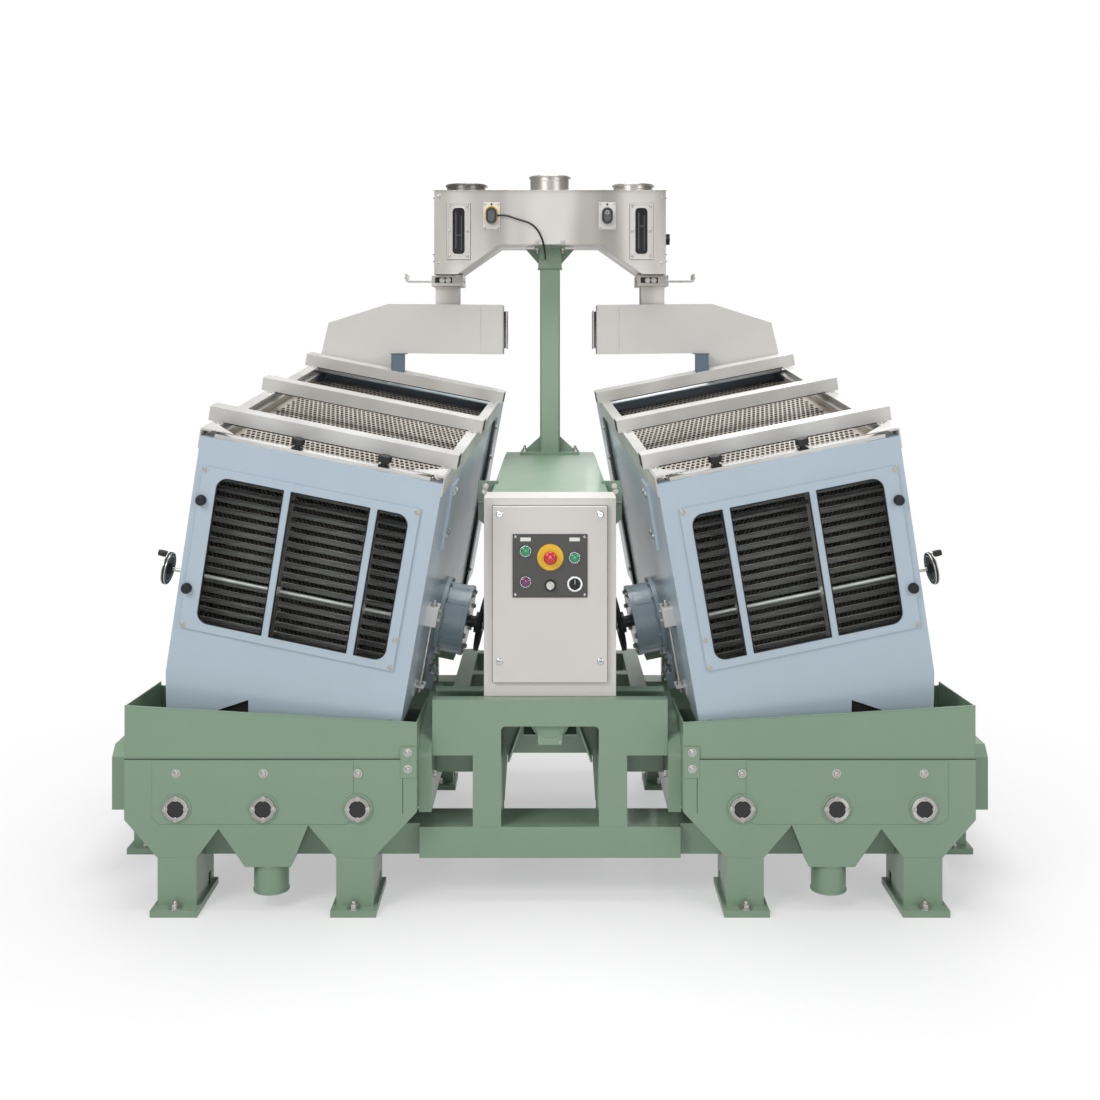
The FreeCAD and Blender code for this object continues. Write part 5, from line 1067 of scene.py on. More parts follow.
@dataclass(frozen=True)
class CabinetFittings:
    """Locks, labels, lenses and rings on the cabinet's door."""

    cabinet_face: float = 0.128
    lock_face: float = 0.1095
    plate_face: float = 0.1095
    cap_proud: float = 0.009
    door: Point = (0.180, 0.673, 1.225)
    gap: float = 0.0016
    gap_width: float = 0.006
    locks: tuple[Pair, ...] = ((-0.158, 1.200), (0.158, 1.200), (-0.158, 0.739), (0.158, 0.739))
    lock_head: Profile = ((0.0112, -0.0028), (0.0112, -0.0012), (0.0086, 0.0), (0.0078, 0.0016), (0.0, 0.0018))
    lock_slot: Point = (0.0052, 0.0011, 0.0022)
    plate: Point = (0.117, 0.940, 1.138)
    plate_inset: float = 0.0085
    plate_screw: float = 0.0030
    plate_corner: float = 0.008
    labels: Pair = (-0.0765, 0.0768)
    label_z: float = 1.1215
    label_size: Point = (0.0165, 0.006, 0.0012)
    buttons: tuple[tuple[str, float, float, Finish], ...] = (
        ("start_button", -0.0765, 1.085, GREEN_CAP), ("feed_button", 0.0768, 1.0646, GREEN_CAP),
        ("stop_button", -0.0765, 0.989, VIOLET_CAP),
    )
    lens: Profile = ((0.0138, 0.0), (0.0136, 0.0016), (0.0112, 0.0032), (0.0062, 0.0043), (0.0, 0.0047))
    bezel: Profile = ((0.0152, 0.0046), (0.0182, 0.0046), (0.0170, 0.0066), (0.0156, 0.0066))
    stop: Pair = (0.001, 1.0656)
    stop_ring: Profile = ((0.0120, 0.0005), (0.0418, 0.0005), (0.0405, 0.0031), (0.0120, 0.0031))
    mushroom: Profile = (
        (0.0206, 0.0178), (0.0209, 0.0200), (0.0207, 0.0238), (0.0192, 0.0266), (0.0160, 0.0288),
        (0.0108, 0.0303), (0.0050, 0.0310), (0.0, 0.0312),
    )
    key: Pair = (0.001, 0.978)
    key_proud: float = 0.005
    key_ring: Profile = ((0.0128, 0.0046), (0.0184, 0.0046), (0.0176, 0.0062), (0.0134, 0.0062))
    key_lock: Profile = ((0.0124, 0.0), (0.0120, 0.0010), (0.0072, 0.0010), (0.0070, 0.0006), (0.0, 0.0006))
    rotary: Pair = (0.0777, 0.9825)
    rotary_proud: float = 0.017
    scale_marks: int = 24

    def build(self, bench: Bench) -> None:
        """Make the door's pieces, each on the body that it moves with."""
        self._door(bench)
        self._plate(bench)
        self._buttons(bench)
        self._stop(bench)
        self._switches(bench)

    def _door(self, bench: Bench) -> None:
        """Make the corner locks, the plate's screws and the blank labels."""
        metal = Shaper("door_locks")
        slots = Shaper("door_lock_slots")
        half_length, half_width, depth = self.lock_slot
        for x, z in self.locks:
            pose = bench.face((x, self.lock_face, z))
            metal.lathe(self.lock_head, pose, 28)
            # A black bar on each lock head stands for its slot: painted shade in place of a recess.
            slots.slab(box_outline(-half_length, half_length, -half_width, half_width), depth, pose)
        half, low, high = self.plate
        for x in (-half + self.plate_inset, half - self.plate_inset):
            for z in (low + self.plate_inset, high - self.plate_inset):
                dome_screw(metal, bench.face((x, self.plate_face, z)), self.plate_screw)
        bench.keep(metal, CHROME, "door")
        bench.keep(slots, GASKET, "door")
        labels = Shaper("blank_labels")
        half_length, half_width, depth = self.label_size
        outline = box_outline(-half_length, half_length, -half_width, half_width)
        for x in self.labels:
            labels.slab(outline, depth, bench.face((x, self.plate_face, self.label_z)), 0.0004)
        bench.keep(labels, WHITE_CAP, "door")

    def _plate(self, bench: Bench) -> None:
        """Draw a dark strip that paints the shade in the gap round the door, and the border of the control
        plate.
        """
        # A dark strip round the door on the cabinet's face paints the shade in the gap.
        seam = Shaper("door_gap_shade")
        half, low, high = self.door
        outline = box_outline(-half - self.gap, half + self.gap, low - self.gap, high + self.gap)
        seam.band(outline, inset(outline, self.gap_width), 0.0008, bench.face((0.0, self.cabinet_face, 0.0)))
        bench.keep(seam, GASKET, "frame")
        border = Shaper("control_plate_border")
        half, low, high = self.plate
        outline = rounded_rectangle(2 * half, high - low, self.plate_corner)
        pose = bench.face((0.0, self.plate_face, (low + high) / 2))
        border.band(outline, inset(outline, 0.0016), 0.0008, pose)
        bench.keep(border, DARK_PAINT, "door")

    def _buttons(self, bench: Bench) -> None:
        """Make the domed lenses and their chromed bezels."""
        bezels = Shaper("button_bezels")
        for name, x, z, finish in self.buttons:
            lens = Shaper(name + "_lens")
            lens.lathe(self.lens, bench.face((x, self.plate_face - self.cap_proud, z)), 36)
            bench.keep(lens, finish, name + "_body")
            bezels.lathe(self.bezel, bench.face((x, self.plate_face, z)), 40, closed=True)
        bench.keep(bezels, CHROME, "door")

    def _stop(self, bench: Bench) -> None:
        """Make the yellow ring and the red domed mushroom over it."""
        x, z = self.stop
        pose = bench.face((x, self.plate_face, z))
        ring = Shaper("stop_ring")
        ring.lathe(self.stop_ring, pose, 48, closed=True)
        bench.keep(ring, YELLOW, "door")
        mushroom = Shaper("mushroom_dome")
        mushroom.lathe(self.mushroom, pose, 44)
        bench.keep(mushroom, RED_CAP, "stop_mushroom_body")

    def _switches(self, bench: Bench) -> None:
        """Make the key lock's ring and face, and the turning switch's mark and scale."""
        x, z = self.key
        ring = Shaper("key_ring")
        ring.lathe(self.key_ring, bench.face((x, self.plate_face, z)), 40, closed=True)
        bench.keep(ring, BLACK, "door")
        lock = Shaper("key_lock")
        lock.lathe(self.key_lock, bench.face((x, self.plate_face - self.key_proud, z)), 36)
        bench.keep(lock, WHITE_CAP, "key_switch_body")
        x, z = self.rotary
        mark = Shaper("rotary_mark")
        pose = bench.face((x, self.plate_face - self.rotary_proud, z))
        mark.slab(box_outline(-0.0011, 0.0011, 0.001, 0.0155), 0.0006, pose)
        bench.keep(mark, WHITE_CAP, "rotary_switch_body")
        scale = Shaper("rotary_scale")
        pose = bench.face((x, self.plate_face - self.key_proud, z))
        for step in range(self.scale_marks):
            turn = Matrix.Rotation(2 * math.pi * step / self.scale_marks, 4, "Z")
            scale.slab(box_outline(-0.0026, 0.0026, 0.0222, 0.0236), 0.0007, pose @ turn)
        bench.keep(scale, WHITE_CAP, "door")


@dataclass(frozen=True)
class FeederFittings:
    """Screws, rims and sensor trims of the feeder bridge and the mast that carries it."""

    middle: float = 1.380
    front: float = 1.216
    plate_front: float = 1.212
    body_front: float = 1.190
    top: float = 2.338
    window_x: float = 0.358
    window_z: float = 2.180
    window_screw: float = 0.0050
    window_columns: float = 0.0355
    window_rows: tuple[float, ...] = (-0.098, 0.0, 0.098)
    gauges: tuple[tuple[float, float, float, float], ...] = (
        (-0.0125, -0.0085, -0.070, 0.072), (0.0095, 0.0125, -0.076, 0.060),
    )
    sensors: Pair = (-0.229, 0.224)
    sensor_z: float = 2.239
    sensor_plate: Point = (0.067, 0.107, 0.0012)
    sensor_screws: Pair = (0.0265, 0.0465)
    sensor_dot: Profile = ((0.0040, 0.0012), (0.0040, 0.0030), (0.0, 0.0034))
    sensor_eye: Profile = ((0.0050, 0.0), (0.0075, 0.0), (0.0072, 0.0012), (0.0054, 0.0012))
    spigots: tuple[Pair, ...] = ((-0.336, 2.378), (0.0, 2.411), (0.336, 2.378))
    flange_half: float = 0.455
    corner_x: float = 0.433
    side_x: float = 0.454
    gate_x: float = 0.408
    gate_front: float = 1.288
    gate_z: float = 1.9945
    gate_bars: tuple[Pair, ...] = ((0.0085, 0.0165), (-0.0265, -0.0145))
    slide_x: float = 0.577
    slide_bolts: float = 0.036
    mast_flange: float = 2.128
    mast_bolts: float = 0.0505
    base_top: float = 1.306
    base_bolts: Pair = (0.10201, 0.055)
    mast_welds: tuple[Pair, ...] = ((2.0405, 0.0475), (1.3075, 0.0415))

    def build(self, bench: Bench) -> None:
        """Make the bridge's pieces."""
        self._windows(bench)
        self._sensors(bench)
        self._casing(bench)
        self._gates(bench)
        self._slides(bench)
        self._mast(bench)

    def _windows(self, bench: Bench) -> None:
        """Frame each window with raised borders, a gasket, a dark band of painted shadow round the frame and
        six screws.
        """
        border = Shaper("feeder_window_borders")
        gasket = Shaper("feeder_window_gaskets_and_shadow_lines")
        screws = Shaper("feeder_window_screws")
        gauge = Shaper("feeder_window_gauges")
        for _, sign in SIDES:
            x = -sign * self.window_x
            pose = bench.face((x, self.plate_front, self.window_z))
            outer = rounded_rectangle(0.090, 0.222, 0.003)
            border.band(outer, inset(outer, 0.004), 0.0016, pose)
            inner = rounded_rectangle(0.055, 0.188, 0.018)
            border.band(inner, inset(inner, 0.0035), 0.0014, pose)
            # A dark band round the frame's outer edge paints its shadow line.
            seat = rounded_rectangle(0.0926, 0.2246, 0.004)
            gasket.band(seat, inset(seat, 0.003), 0.0012, bench.face((x, self.front, self.window_z)))
            rim = rounded_rectangle(0.048, 0.181, 0.015)
            gasket.band(rim, inset(rim, 0.0038), 0.0010, pose)
            for across in (-self.window_columns, self.window_columns):
                for up in self.window_rows:
                    spot = (x + across, self.plate_front, self.window_z + up)
                    dome_screw(screws, bench.face(spot), self.window_screw)
            for outline in self.gauges:
                gauge.slab(box_outline(*outline), 0.0006, pose)
            level = -0.018 * sign
            gauge.slab(box_outline(-0.010, 0.012, level, level + 0.0025), 0.0007, pose)
        bench.keep(border, ALLOY, "frame")
        bench.keep(gasket, GASKET, "frame")
        bench.keep(screws, ZINC, "frame")
        bench.keep(gauge, GREY_PLASTIC, "frame")

    def _sensors(self, bench: Bench) -> None:
        """Trim both level sensors: pale plates, screws, a dark dot and the rings."""
        plates = Shaper("sensor_plates")
        screws = Shaper("sensor_screws")
        dots = Shaper("sensor_dots")
        yellow = Shaper("sensor_collars")
        width, height, depth = self.sensor_plate
        columns, rows = self.sensor_screws
        for x in self.sensors:
            pose = bench.face((x, self.plate_front, self.sensor_z))
            plates.slab(rounded_rectangle(width, height, 0.004), depth, pose, 0.0004)
            for across in (-columns, columns):
                for up in (-rows, rows):
                    spot = (x + across, self.plate_front - depth, self.sensor_z + up)
                    dome_screw(screws, bench.face(spot), 0.0030)
            dots.lathe(self.sensor_dot, bench.face((x, self.plate_front, self.sensor_z + 0.0455)), 16)
            body = rounded_rectangle(0.036, 0.056, 0.0175, 7)
            dots.band(body, inset(body, 0.0045), 0.0014, bench.face((x, self.body_front, self.sensor_z)))
        left, right = self.sensors
        collar = rounded_rectangle(0.049, 0.069, 0.0235, 7)
        pose = bench.face((left, self.plate_front - depth, self.sensor_z + 0.0035))
        yellow.band(collar, inset(collar, 0.0032), 0.0080, pose)
        pose = bench.face((right, self.body_front, self.sensor_z + 0.012))
        plates.lathe(self.sensor_eye, pose, 24, closed=True)
        bench.keep(plates, CABINET_PAINT, "frame")
        bench.keep(screws, ZINC, "frame")
        bench.keep(dots, BLACK, "frame")
        bench.keep(yellow, YELLOW, "frame")

    def _casing(self, bench: Bench) -> None:
        """Bead the inlets, fold the bridge's edges and screw its corners."""
        rims = Shaper("inlet_beads")
        rear = 2 * self.middle - self.front
        for x, top in self.spigots:
            seat = Matrix.Translation(bench.site.at(x, self.middle, 0.0))
            beads = (
                (0.0815, top - 0.004, 0.0038), (0.0795, self.top + 0.003, 0.003), (0.0790, top - 0.022, 0.0016),
            )
            for radius, height, bulge in beads:
                ring = [(radius + across, height + up) for across, up in ring_points(bulge, 8)]
                rims.lathe(ring, seat, 56, closed=True)
        for line in (self.front - 0.0015, rear + 0.0015):
            outline = box_outline(-self.flange_half, self.flange_half, line - 0.0025, line + 0.0025)
            rims.slab(outline, 0.0025, Matrix.Translation(bench.site.at(0.0, 0.0, self.top)), 0.0008)
        bench.keep(rims, SPOUT_STEEL, "frame")
        screws = Shaper("bridge_screws")
        for x in (-self.corner_x, self.corner_x):
            dome_screw(screws, bench.face((x, self.front, self.top - 0.021)), 0.0065)
            dome_screw(screws, bench.face((x * 1.005, self.front, self.top - 0.283)), 0.0030)
        for sign in (-1.0, 1.0):
            for drop in (0.024, 0.246, 0.274):
                for y in (self.front + 0.020, rear - 0.020):
                    spot = (sign * self.side_x, y, self.top - drop)
                    hex_bolt(screws, bench.face(spot, (sign, 0.0, 0.0)), 0.010)
        bench.keep(screws, ZINC, "frame")

    def _gates(self, bench: Bench) -> None:
        """Face the gate boxes with their bars, dark slots and bolts."""
        bolts = Shaper("gate_bolts")
        frames = Shaper("gate_plates")
        dark = Shaper("gate_windows")
        for _, sign in SIDES:
            x = -sign * self.gate_x
            pose = bench.face((x, self.gate_front, self.gate_z))
            for low, high in self.gate_bars:
                frames.slab(box_outline(-0.062, 0.062, low, high), 0.005, pose, 0.0008)
            dark.slab(box_outline(-0.048, 0.020, -0.0135, 0.0075), 0.0012, pose)
            for across in (-0.020, 0.004):
                hex_bolt(bolts, bench.face((x + across, self.gate_front - 0.001, self.gate_z - 0.0035)), 0.013)
            hex_bolt(bolts, bench.face((-sign * 0.462, self.gate_front, self.gate_z - 0.0045)), 0.010)
        bench.keep(bolts, ZINC, "frame")
        bench.keep(frames, STEEL, "frame")
        bench.keep(dark, GASKET, "frame")

    def _slides(self, bench: Bench) -> None:
        """Give each slide's handle its end bolts and folded edge."""
        for side, sign in SIDES:
            hook = Shaper(side + "_slide_hook")
            outward = (-sign, 0.0, 0.0)
            x = -sign * self.slide_x
            for y in (self.middle - self.slide_bolts, self.middle + self.slide_bolts):
                hex_bolt(hook, bench.face((x, y, 2.004), outward), 0.010)
            fold = bench.face((x, self.middle, 2.0155), outward)
            hook.slab(box_outline(-0.050, 0.050, -0.003, 0.003), 0.003, fold, 0.0008)
            bench.keep(hook, STEEL, side + "_slide_gate_body")

    def _mast(self, bench: Bench) -> None:
        """Bolt the mast's upper flange and base, and run the weld beads round them."""
        bolts = Shaper("mast_bolts")
        base_x, base_y = self.base_bolts
        for sign in (-1.0, 1.0):
            x = sign * self.mast_bolts
            for y in (self.middle - self.mast_bolts, self.middle + self.mast_bolts):
                seat = bench.face((x, y, self.mast_flange - 0.008), (0.0, 0.0, -1.0))
                hexagon_nut(bolts, seat, 0.014, 0.020)
            hex_bolt(bolts, bench.face((x, self.front - 0.001, self.mast_flange + 0.009)), 0.012)
            for y in (self.middle - base_y, self.middle + base_y):
                hexagon_nut(bolts, bench.face((sign * base_x, y, self.base_top), (0.0, 0.0, 1.0)), 0.017, 0.020)
        bench.keep(bolts, ZINC, "frame")
        beads = Shaper("mast_beads")
        for z, half in self.mast_welds:
            outline = rounded_rectangle(2 * half, 2 * half, 0.010)
            tube_round(beads, [bench.site.at(x, self.middle + y, z) for x, y in outline], 0.0022, 6)
        bench.keep(beads, FRAME_PAINT, "frame")


@dataclass(frozen=True)
class HoodFittings:
    """Seams, end window and strut of the two inlet hoods."""

    front: float = 1.276
    rear: float = 1.456
    seam_x: float = 0.274
    seam: Pair = (1.704, 1.888)
    seam_half: float = 0.0009
    seam_depth: float = 0.0005
    end_x: float = 0.187
    end: Pair = (1.704, 1.886)
    end_margin: Pair = (0.012, 0.030)
    end_corner: float = 0.006
    sheet: float = 0.0035
    frame_width: float = 0.018
    frame_lift: float = 0.0125
    glass_inset: float = 0.004
    glass_lift: float = 0.0032
    glass_depth: float = 0.0095
    strut: Pair = (0.6187, 0.5693)
    strut_top: float = 1.7014
    strut_depth: Point = (1.2325, 1.1910, 1.3000)
    cap: float = 0.004
    cap_over: Pair = (0.003, 0.001)
    bar_top: float = 0.830

    def build(self, bench: Bench) -> None:
        """Make both hoods' pieces."""
        line = box_outline(-self.seam_half, self.seam_half, *self.seam)
        for side, sign in SIDES:
            seam = Shaper(side + "_hood_seams")
            seam.slab(line, self.seam_depth, bench.face((-sign * self.seam_x, self.front, 0.0)))
            bench.keep(seam, HOOD_PAINT, side + "_deck")
            self._end_window(side, sign, bench)
            self._strut(side, sign, bench)

    def _end_window(self, side: str, sign: float, bench: Bench) -> None:
        """Build the inner end's window: a backing plate, dark glass and a pale frame."""
        low, high = self.end
        across, up = self.end_margin
        outline = rounded_rectangle(self.rear - self.front - across, high - low - up, self.end_corner)
        place = (-sign * self.end_x, (self.front + self.rear) / 2, (low + high) / 2)
        pose = bench.face(place, (sign, 0.0, 0.0))
        frame = Shaper(side + "_hood_window_frame")
        frame.slab(outline, self.sheet, pose, 0.0008)
        frame.band(outline, inset(outline, self.frame_width), self.sheet, lifted(pose, self.frame_lift))
        bench.keep(frame, HOOD_PAINT, side + "_deck")
        glass = Shaper(side + "_hood_window_glass")
        glass.slab(inset(outline, self.glass_inset), self.glass_depth, lifted(pose, self.glass_lift))
        bench.keep(glass, SMOKED, side + "_deck")

    def _strut(self, side: str, sign: float, bench: Bench) -> None:
        """Face the strut on the rear crossbar and join its head to the hood's floor."""
        deck = bench.site.deck(1.0)
        normal = deck.to_3x3() @ Vector((0.0, 0.0, 1.0))
        seat = deck @ Vector((0.0, 0.0, self.bar_top))
        rear, front, joined = self.strut_depth
        levels = []
        for x in self.strut:
            offset = bench.site.at(-x, front, 0.0) - seat
            levels.append(seat.z - (normal.x * offset.x + normal.y * offset.y) / normal.z)
        outer, inner = (-sign * x for x in self.strut)
        outline = [(outer, levels[0]), (inner, levels[1]), (inner, self.strut_top), (outer, self.strut_top)]
        strut = Shaper(side + "_hood_strut")
        strut.slab(outline if sign > 0 else outline[::-1], rear - front, bench.face((0.0, rear, 0.0)), 0.0006)
        across, along = self.cap_over
        left, right = sorted((outer - sign * across, inner + sign * across))
        head = Matrix.Translation(bench.site.at(0.0, 0.0, self.strut_top - self.cap))
        strut.slab(box_outline(left, right, front - along, joined), self.cap, head)
        bench.keep(strut, STRUT_PAINT, side + "_deck")


@dataclass(frozen=True)
class DeckFront:
    """Screws, knobs, gaskets and the divider spindle on the decks' front."""

    width: float = 0.750
    cover_face: float = -0.006
    cover_screws: tuple[Pair, ...] = (
        (0.031, 0.664), (0.032, 0.166), (0.690, 0.257), (0.690, 0.168), (0.690, 0.664),
    )
    cover_screw: float = 0.0062
    corner_bolts: tuple[Point, ...] = ((0.7365, 0.0, -0.0085), (0.716, 0.0, -0.0085))
    corner_flats: float = 0.013
    windows: tuple[tuple[float, float, Pair], ...] = (
        (0.073, 0.279, (0.036, 0.002)), (0.302, 0.547, (0.002, 0.002)), (0.571, 0.667, (0.002, 0.036)),
    )
    window_z: Pair = (0.184, 0.648)
    gasket: Point = (0.0012, 0.0036, 0.0070)
    cover_knobs: tuple[Pair, ...] = ((0.033, 0.568), (0.029, 0.285))
    round_knob: Profile = (
        (0.0162, 0.0), (0.0166, 0.0030), (0.0160, 0.0100), (0.0138, 0.0168), (0.0112, 0.0184), (0.0092, 0.0184),
        (0.0088, 0.0172), (0.0050, 0.0172), (0.0046, 0.0182), (0.0, 0.0184),
    )
    top_knobs: Pair = (0.293, 0.562)
    clamp: Pair = (0.020, 0.775)
    clamp_stem: Profile = ((0.0105, 0.0), (0.0095, 0.0100), (0.0130, 0.0165))
    lobe_count: int = 8
    lobe_radius: float = 0.0196
    lobe_wave: float = 0.0012
    lobe_seat: float = 0.0164
    spindle: Pair = (0.060, 0.310)
    thread: tuple[float, float, float, float] = (0.0061, 0.0068, 0.003, 0.712)
    thread_start: float = 0.018
    wheel_x: float = -0.058
    wheel_radius: float = 0.044
    wheel_tube: float = 0.0072
    wheel_hub: Profile = (
        (0.0, -0.015), (0.011, -0.015), (0.015, -0.012), (0.016, 0.010), (0.012, 0.015), (0.0, 0.015),
    )
    wheel_disc: Profile = ((0.014, -0.0056), (0.0405, -0.0050), (0.0405, 0.0050), (0.014, 0.0056))
    wheel_grip: Profile = (
        (0.0, 0.0), (0.0060, 0.0), (0.0060, 0.008), (0.0088, 0.010), (0.0105, 0.022), (0.0090, 0.037),
        (0.0, 0.0385),
    )
    crossbars: Point = (0.119, 0.688, 1.276)
    rails: Pair = (0.016, 0.734)
    rail_top: float = 0.785
    rail_screw: float = 0.0058
    rail_screws: Pair = (-0.016, 0.076)
    shadow_line_inset: float = 0.028
    bar_end: float = 0.0195
    bar_middle: Pair = (0.030, 0.0225)
    bar_hollow: Point = (0.054, 0.039, 0.003)
    sheath: Point = (0.006, 0.060, 0.600)
    sheath_radius: float = 0.0053
    notch: tuple[float, float, float, float] = (0.085, 0.310, -0.142, -0.016)
    notch_plate: Pair = (0.012, 0.002)

    def build(self, bench: Bench) -> None:
        """Make the front pieces of both decks."""
        for side, sign in SIDES:
            self._screws(side, sign, bench)
            self._gaskets(side, sign, bench)
            self._knobs(side, sign, bench)
            self._spindle(side, sign, bench)
            self._handwheel(side, sign, bench)
            self._top_frame(side, sign, bench)
            self._dark_parts(side, sign, bench)

    def _screws(self, side: str, sign: float, bench: Bench) -> None:
        """Make the screws of the cover and the bolts of the lower corner."""
        screws = Shaper(side + "_cover_screws")
        for x, z in self.cover_screws:
            dome_screw(screws, bench.deck_face(sign, (x, self.cover_face, z)), self.cover_screw)
        for place in self.corner_bolts:
            hex_bolt(screws, bench.deck_face(sign, place), self.corner_flats)
        bench.keep(screws, ZINC, side + "_deck")

    def _gaskets(self, side: str, sign: float, bench: Bench) -> None:
        """Run the black rubber edge round each window."""
        gasket = Shaper(side + "_window_gaskets")
        over, width, depth = self.gasket
        low, high = self.window_z
        for left, right, corners in self.windows:
            outline = rounded_box(left - over, right + over, low - over, high + over, corners)
            gasket.band(outline, inset(outline, width), depth, bench.deck_face(sign, (0.0, 0.0, 0.0)))
        bench.keep(gasket, GASKET, side + "_deck")

    def _knobs(self, side: str, sign: float, bench: Bench) -> None:
        """Shape the round cover knobs and the lobed clamp knobs."""
        knobs = Shaper(side + "_moulded_knobs")
        for x, z in self.cover_knobs:
            knobs.lathe(self.round_knob, bench.deck_face(sign, (x, self.cover_face, z)), 32)
        lobes = []
        for across, up in ring_points(1.0, 8 * self.lobe_count):
            radius = self.lobe_radius + self.lobe_wave * math.cos(self.lobe_count * math.atan2(up, across))
            lobes.append((radius * across, radius * up))
        for x in self.top_knobs:
            seat = bench.deck_face(sign, (x, *self.clamp), UPWARD)
            knobs.slab(rounded_rectangle(0.032, 0.026, 0.003), 0.0045, seat, 0.001)
            knobs.lathe(self.clamp_stem, seat, 24)
            knobs.slab(lobes, 0.0186, lifted(seat, self.lobe_seat), 0.0022)
        bench.keep(knobs, BLACK, side + "_deck")

    def _spindle(self, side: str, sign: float, bench: Bench) -> None:
        """Cut the thread of the divider spindle."""
        rod = Shaper(side + "_spindle_thread")
        threaded(rod, bench.deck_face(sign, (self.thread_start, *self.spindle), ACROSS), *self.thread)
        bench.keep(rod, ZINC, side + "_spindle_body")

    def _handwheel(self, side: str, sign: float, bench: Bench) -> None:
        """Mould the handwheel, its hub, its disc and its crank."""
        along, height = self.spindle
        wheel = Shaper(side + "_handwheel")
        centre = bench.deck_face(sign, (self.wheel_x, along, height), ACROSS)
        circle = [centre @ Vector((across, up, 0.0)) for across, up in ring_points(self.wheel_radius, 36)]
        tube_round(wheel, circle, self.wheel_tube, 10)
        wheel.lathe(self.wheel_hub, centre)
        wheel.lathe(self.wheel_disc, centre, 36)
        grip = bench.deck_face(sign, (self.wheel_x, along, height + self.wheel_radius), (-1.0, 0.0, 0.0))
        wheel.lathe(self.wheel_grip, grip)
        bench.keep(wheel, BLACK, side + "_spindle_body")

    def _top_frame(self, side: str, sign: float, bench: Bench) -> None:
        """Draw painted shadow lines along the crossbars and painted shade on their hollow ends, and screw the
        rails beside them.
        """
        joints = Shaper(side + "_crossbar_shadow_lines")
        screws = Shaper(side + "_rail_screws")
        # A dark strip along each crossbar's foot paints its shadow line, and a dark plate on each hollow end
        # paints the shade inside the tube.
        shadow_line = box_outline(self.shadow_line_inset, self.width - self.shadow_line_inset, -0.0012, 0.0018)
        hollow = rounded_rectangle(*self.bar_hollow)
        along, up = self.bar_middle
        for station in self.crossbars:
            joints.slab(shadow_line, 0.0010, bench.deck_face(sign, (0.0, station, self.rail_top)))
            for x in self.rails:
                for offset in self.rail_screws:
                    seat = bench.deck_face(sign, (x, station + offset, self.rail_top), UPWARD)
                    dome_screw(screws, seat, self.rail_screw)
            for x in (-self.bar_end, self.width + self.bar_end):
                end = bench.deck_face(sign, (x, station + along, self.rail_top + up), (x, 0.0, 0.0))
                joints.slab(hollow, 0.0010, end)
        bench.keep(joints, GASKET, side + "_deck")
        bench.keep(screws, ZINC, side + "_deck")

    def _dark_parts(self, side: str, sign: float, bench: Bench) -> None:
        """Sheathe the dividers' guide bar, and put a dark plate of painted shade behind the skirt's notch."""
        dark = Shaper(side + "_guide_sheath_and_notch_shade")
        bar = bar_profile(self.sheath_radius, self.width - 2 * self.sheath[0])
        dark.lathe(bar, bench.deck_face(sign, self.sheath, ACROSS), 16)
        # The plate behind the notch paints the shade of the deck's inside.
        behind, depth = self.notch_plate
        dark.slab(box_outline(*self.notch), depth, bench.deck_face(sign, (0.0, behind, 0.0)))
        bench.keep(dark, DARK_FILL_AND_SHADE, side + "_deck")


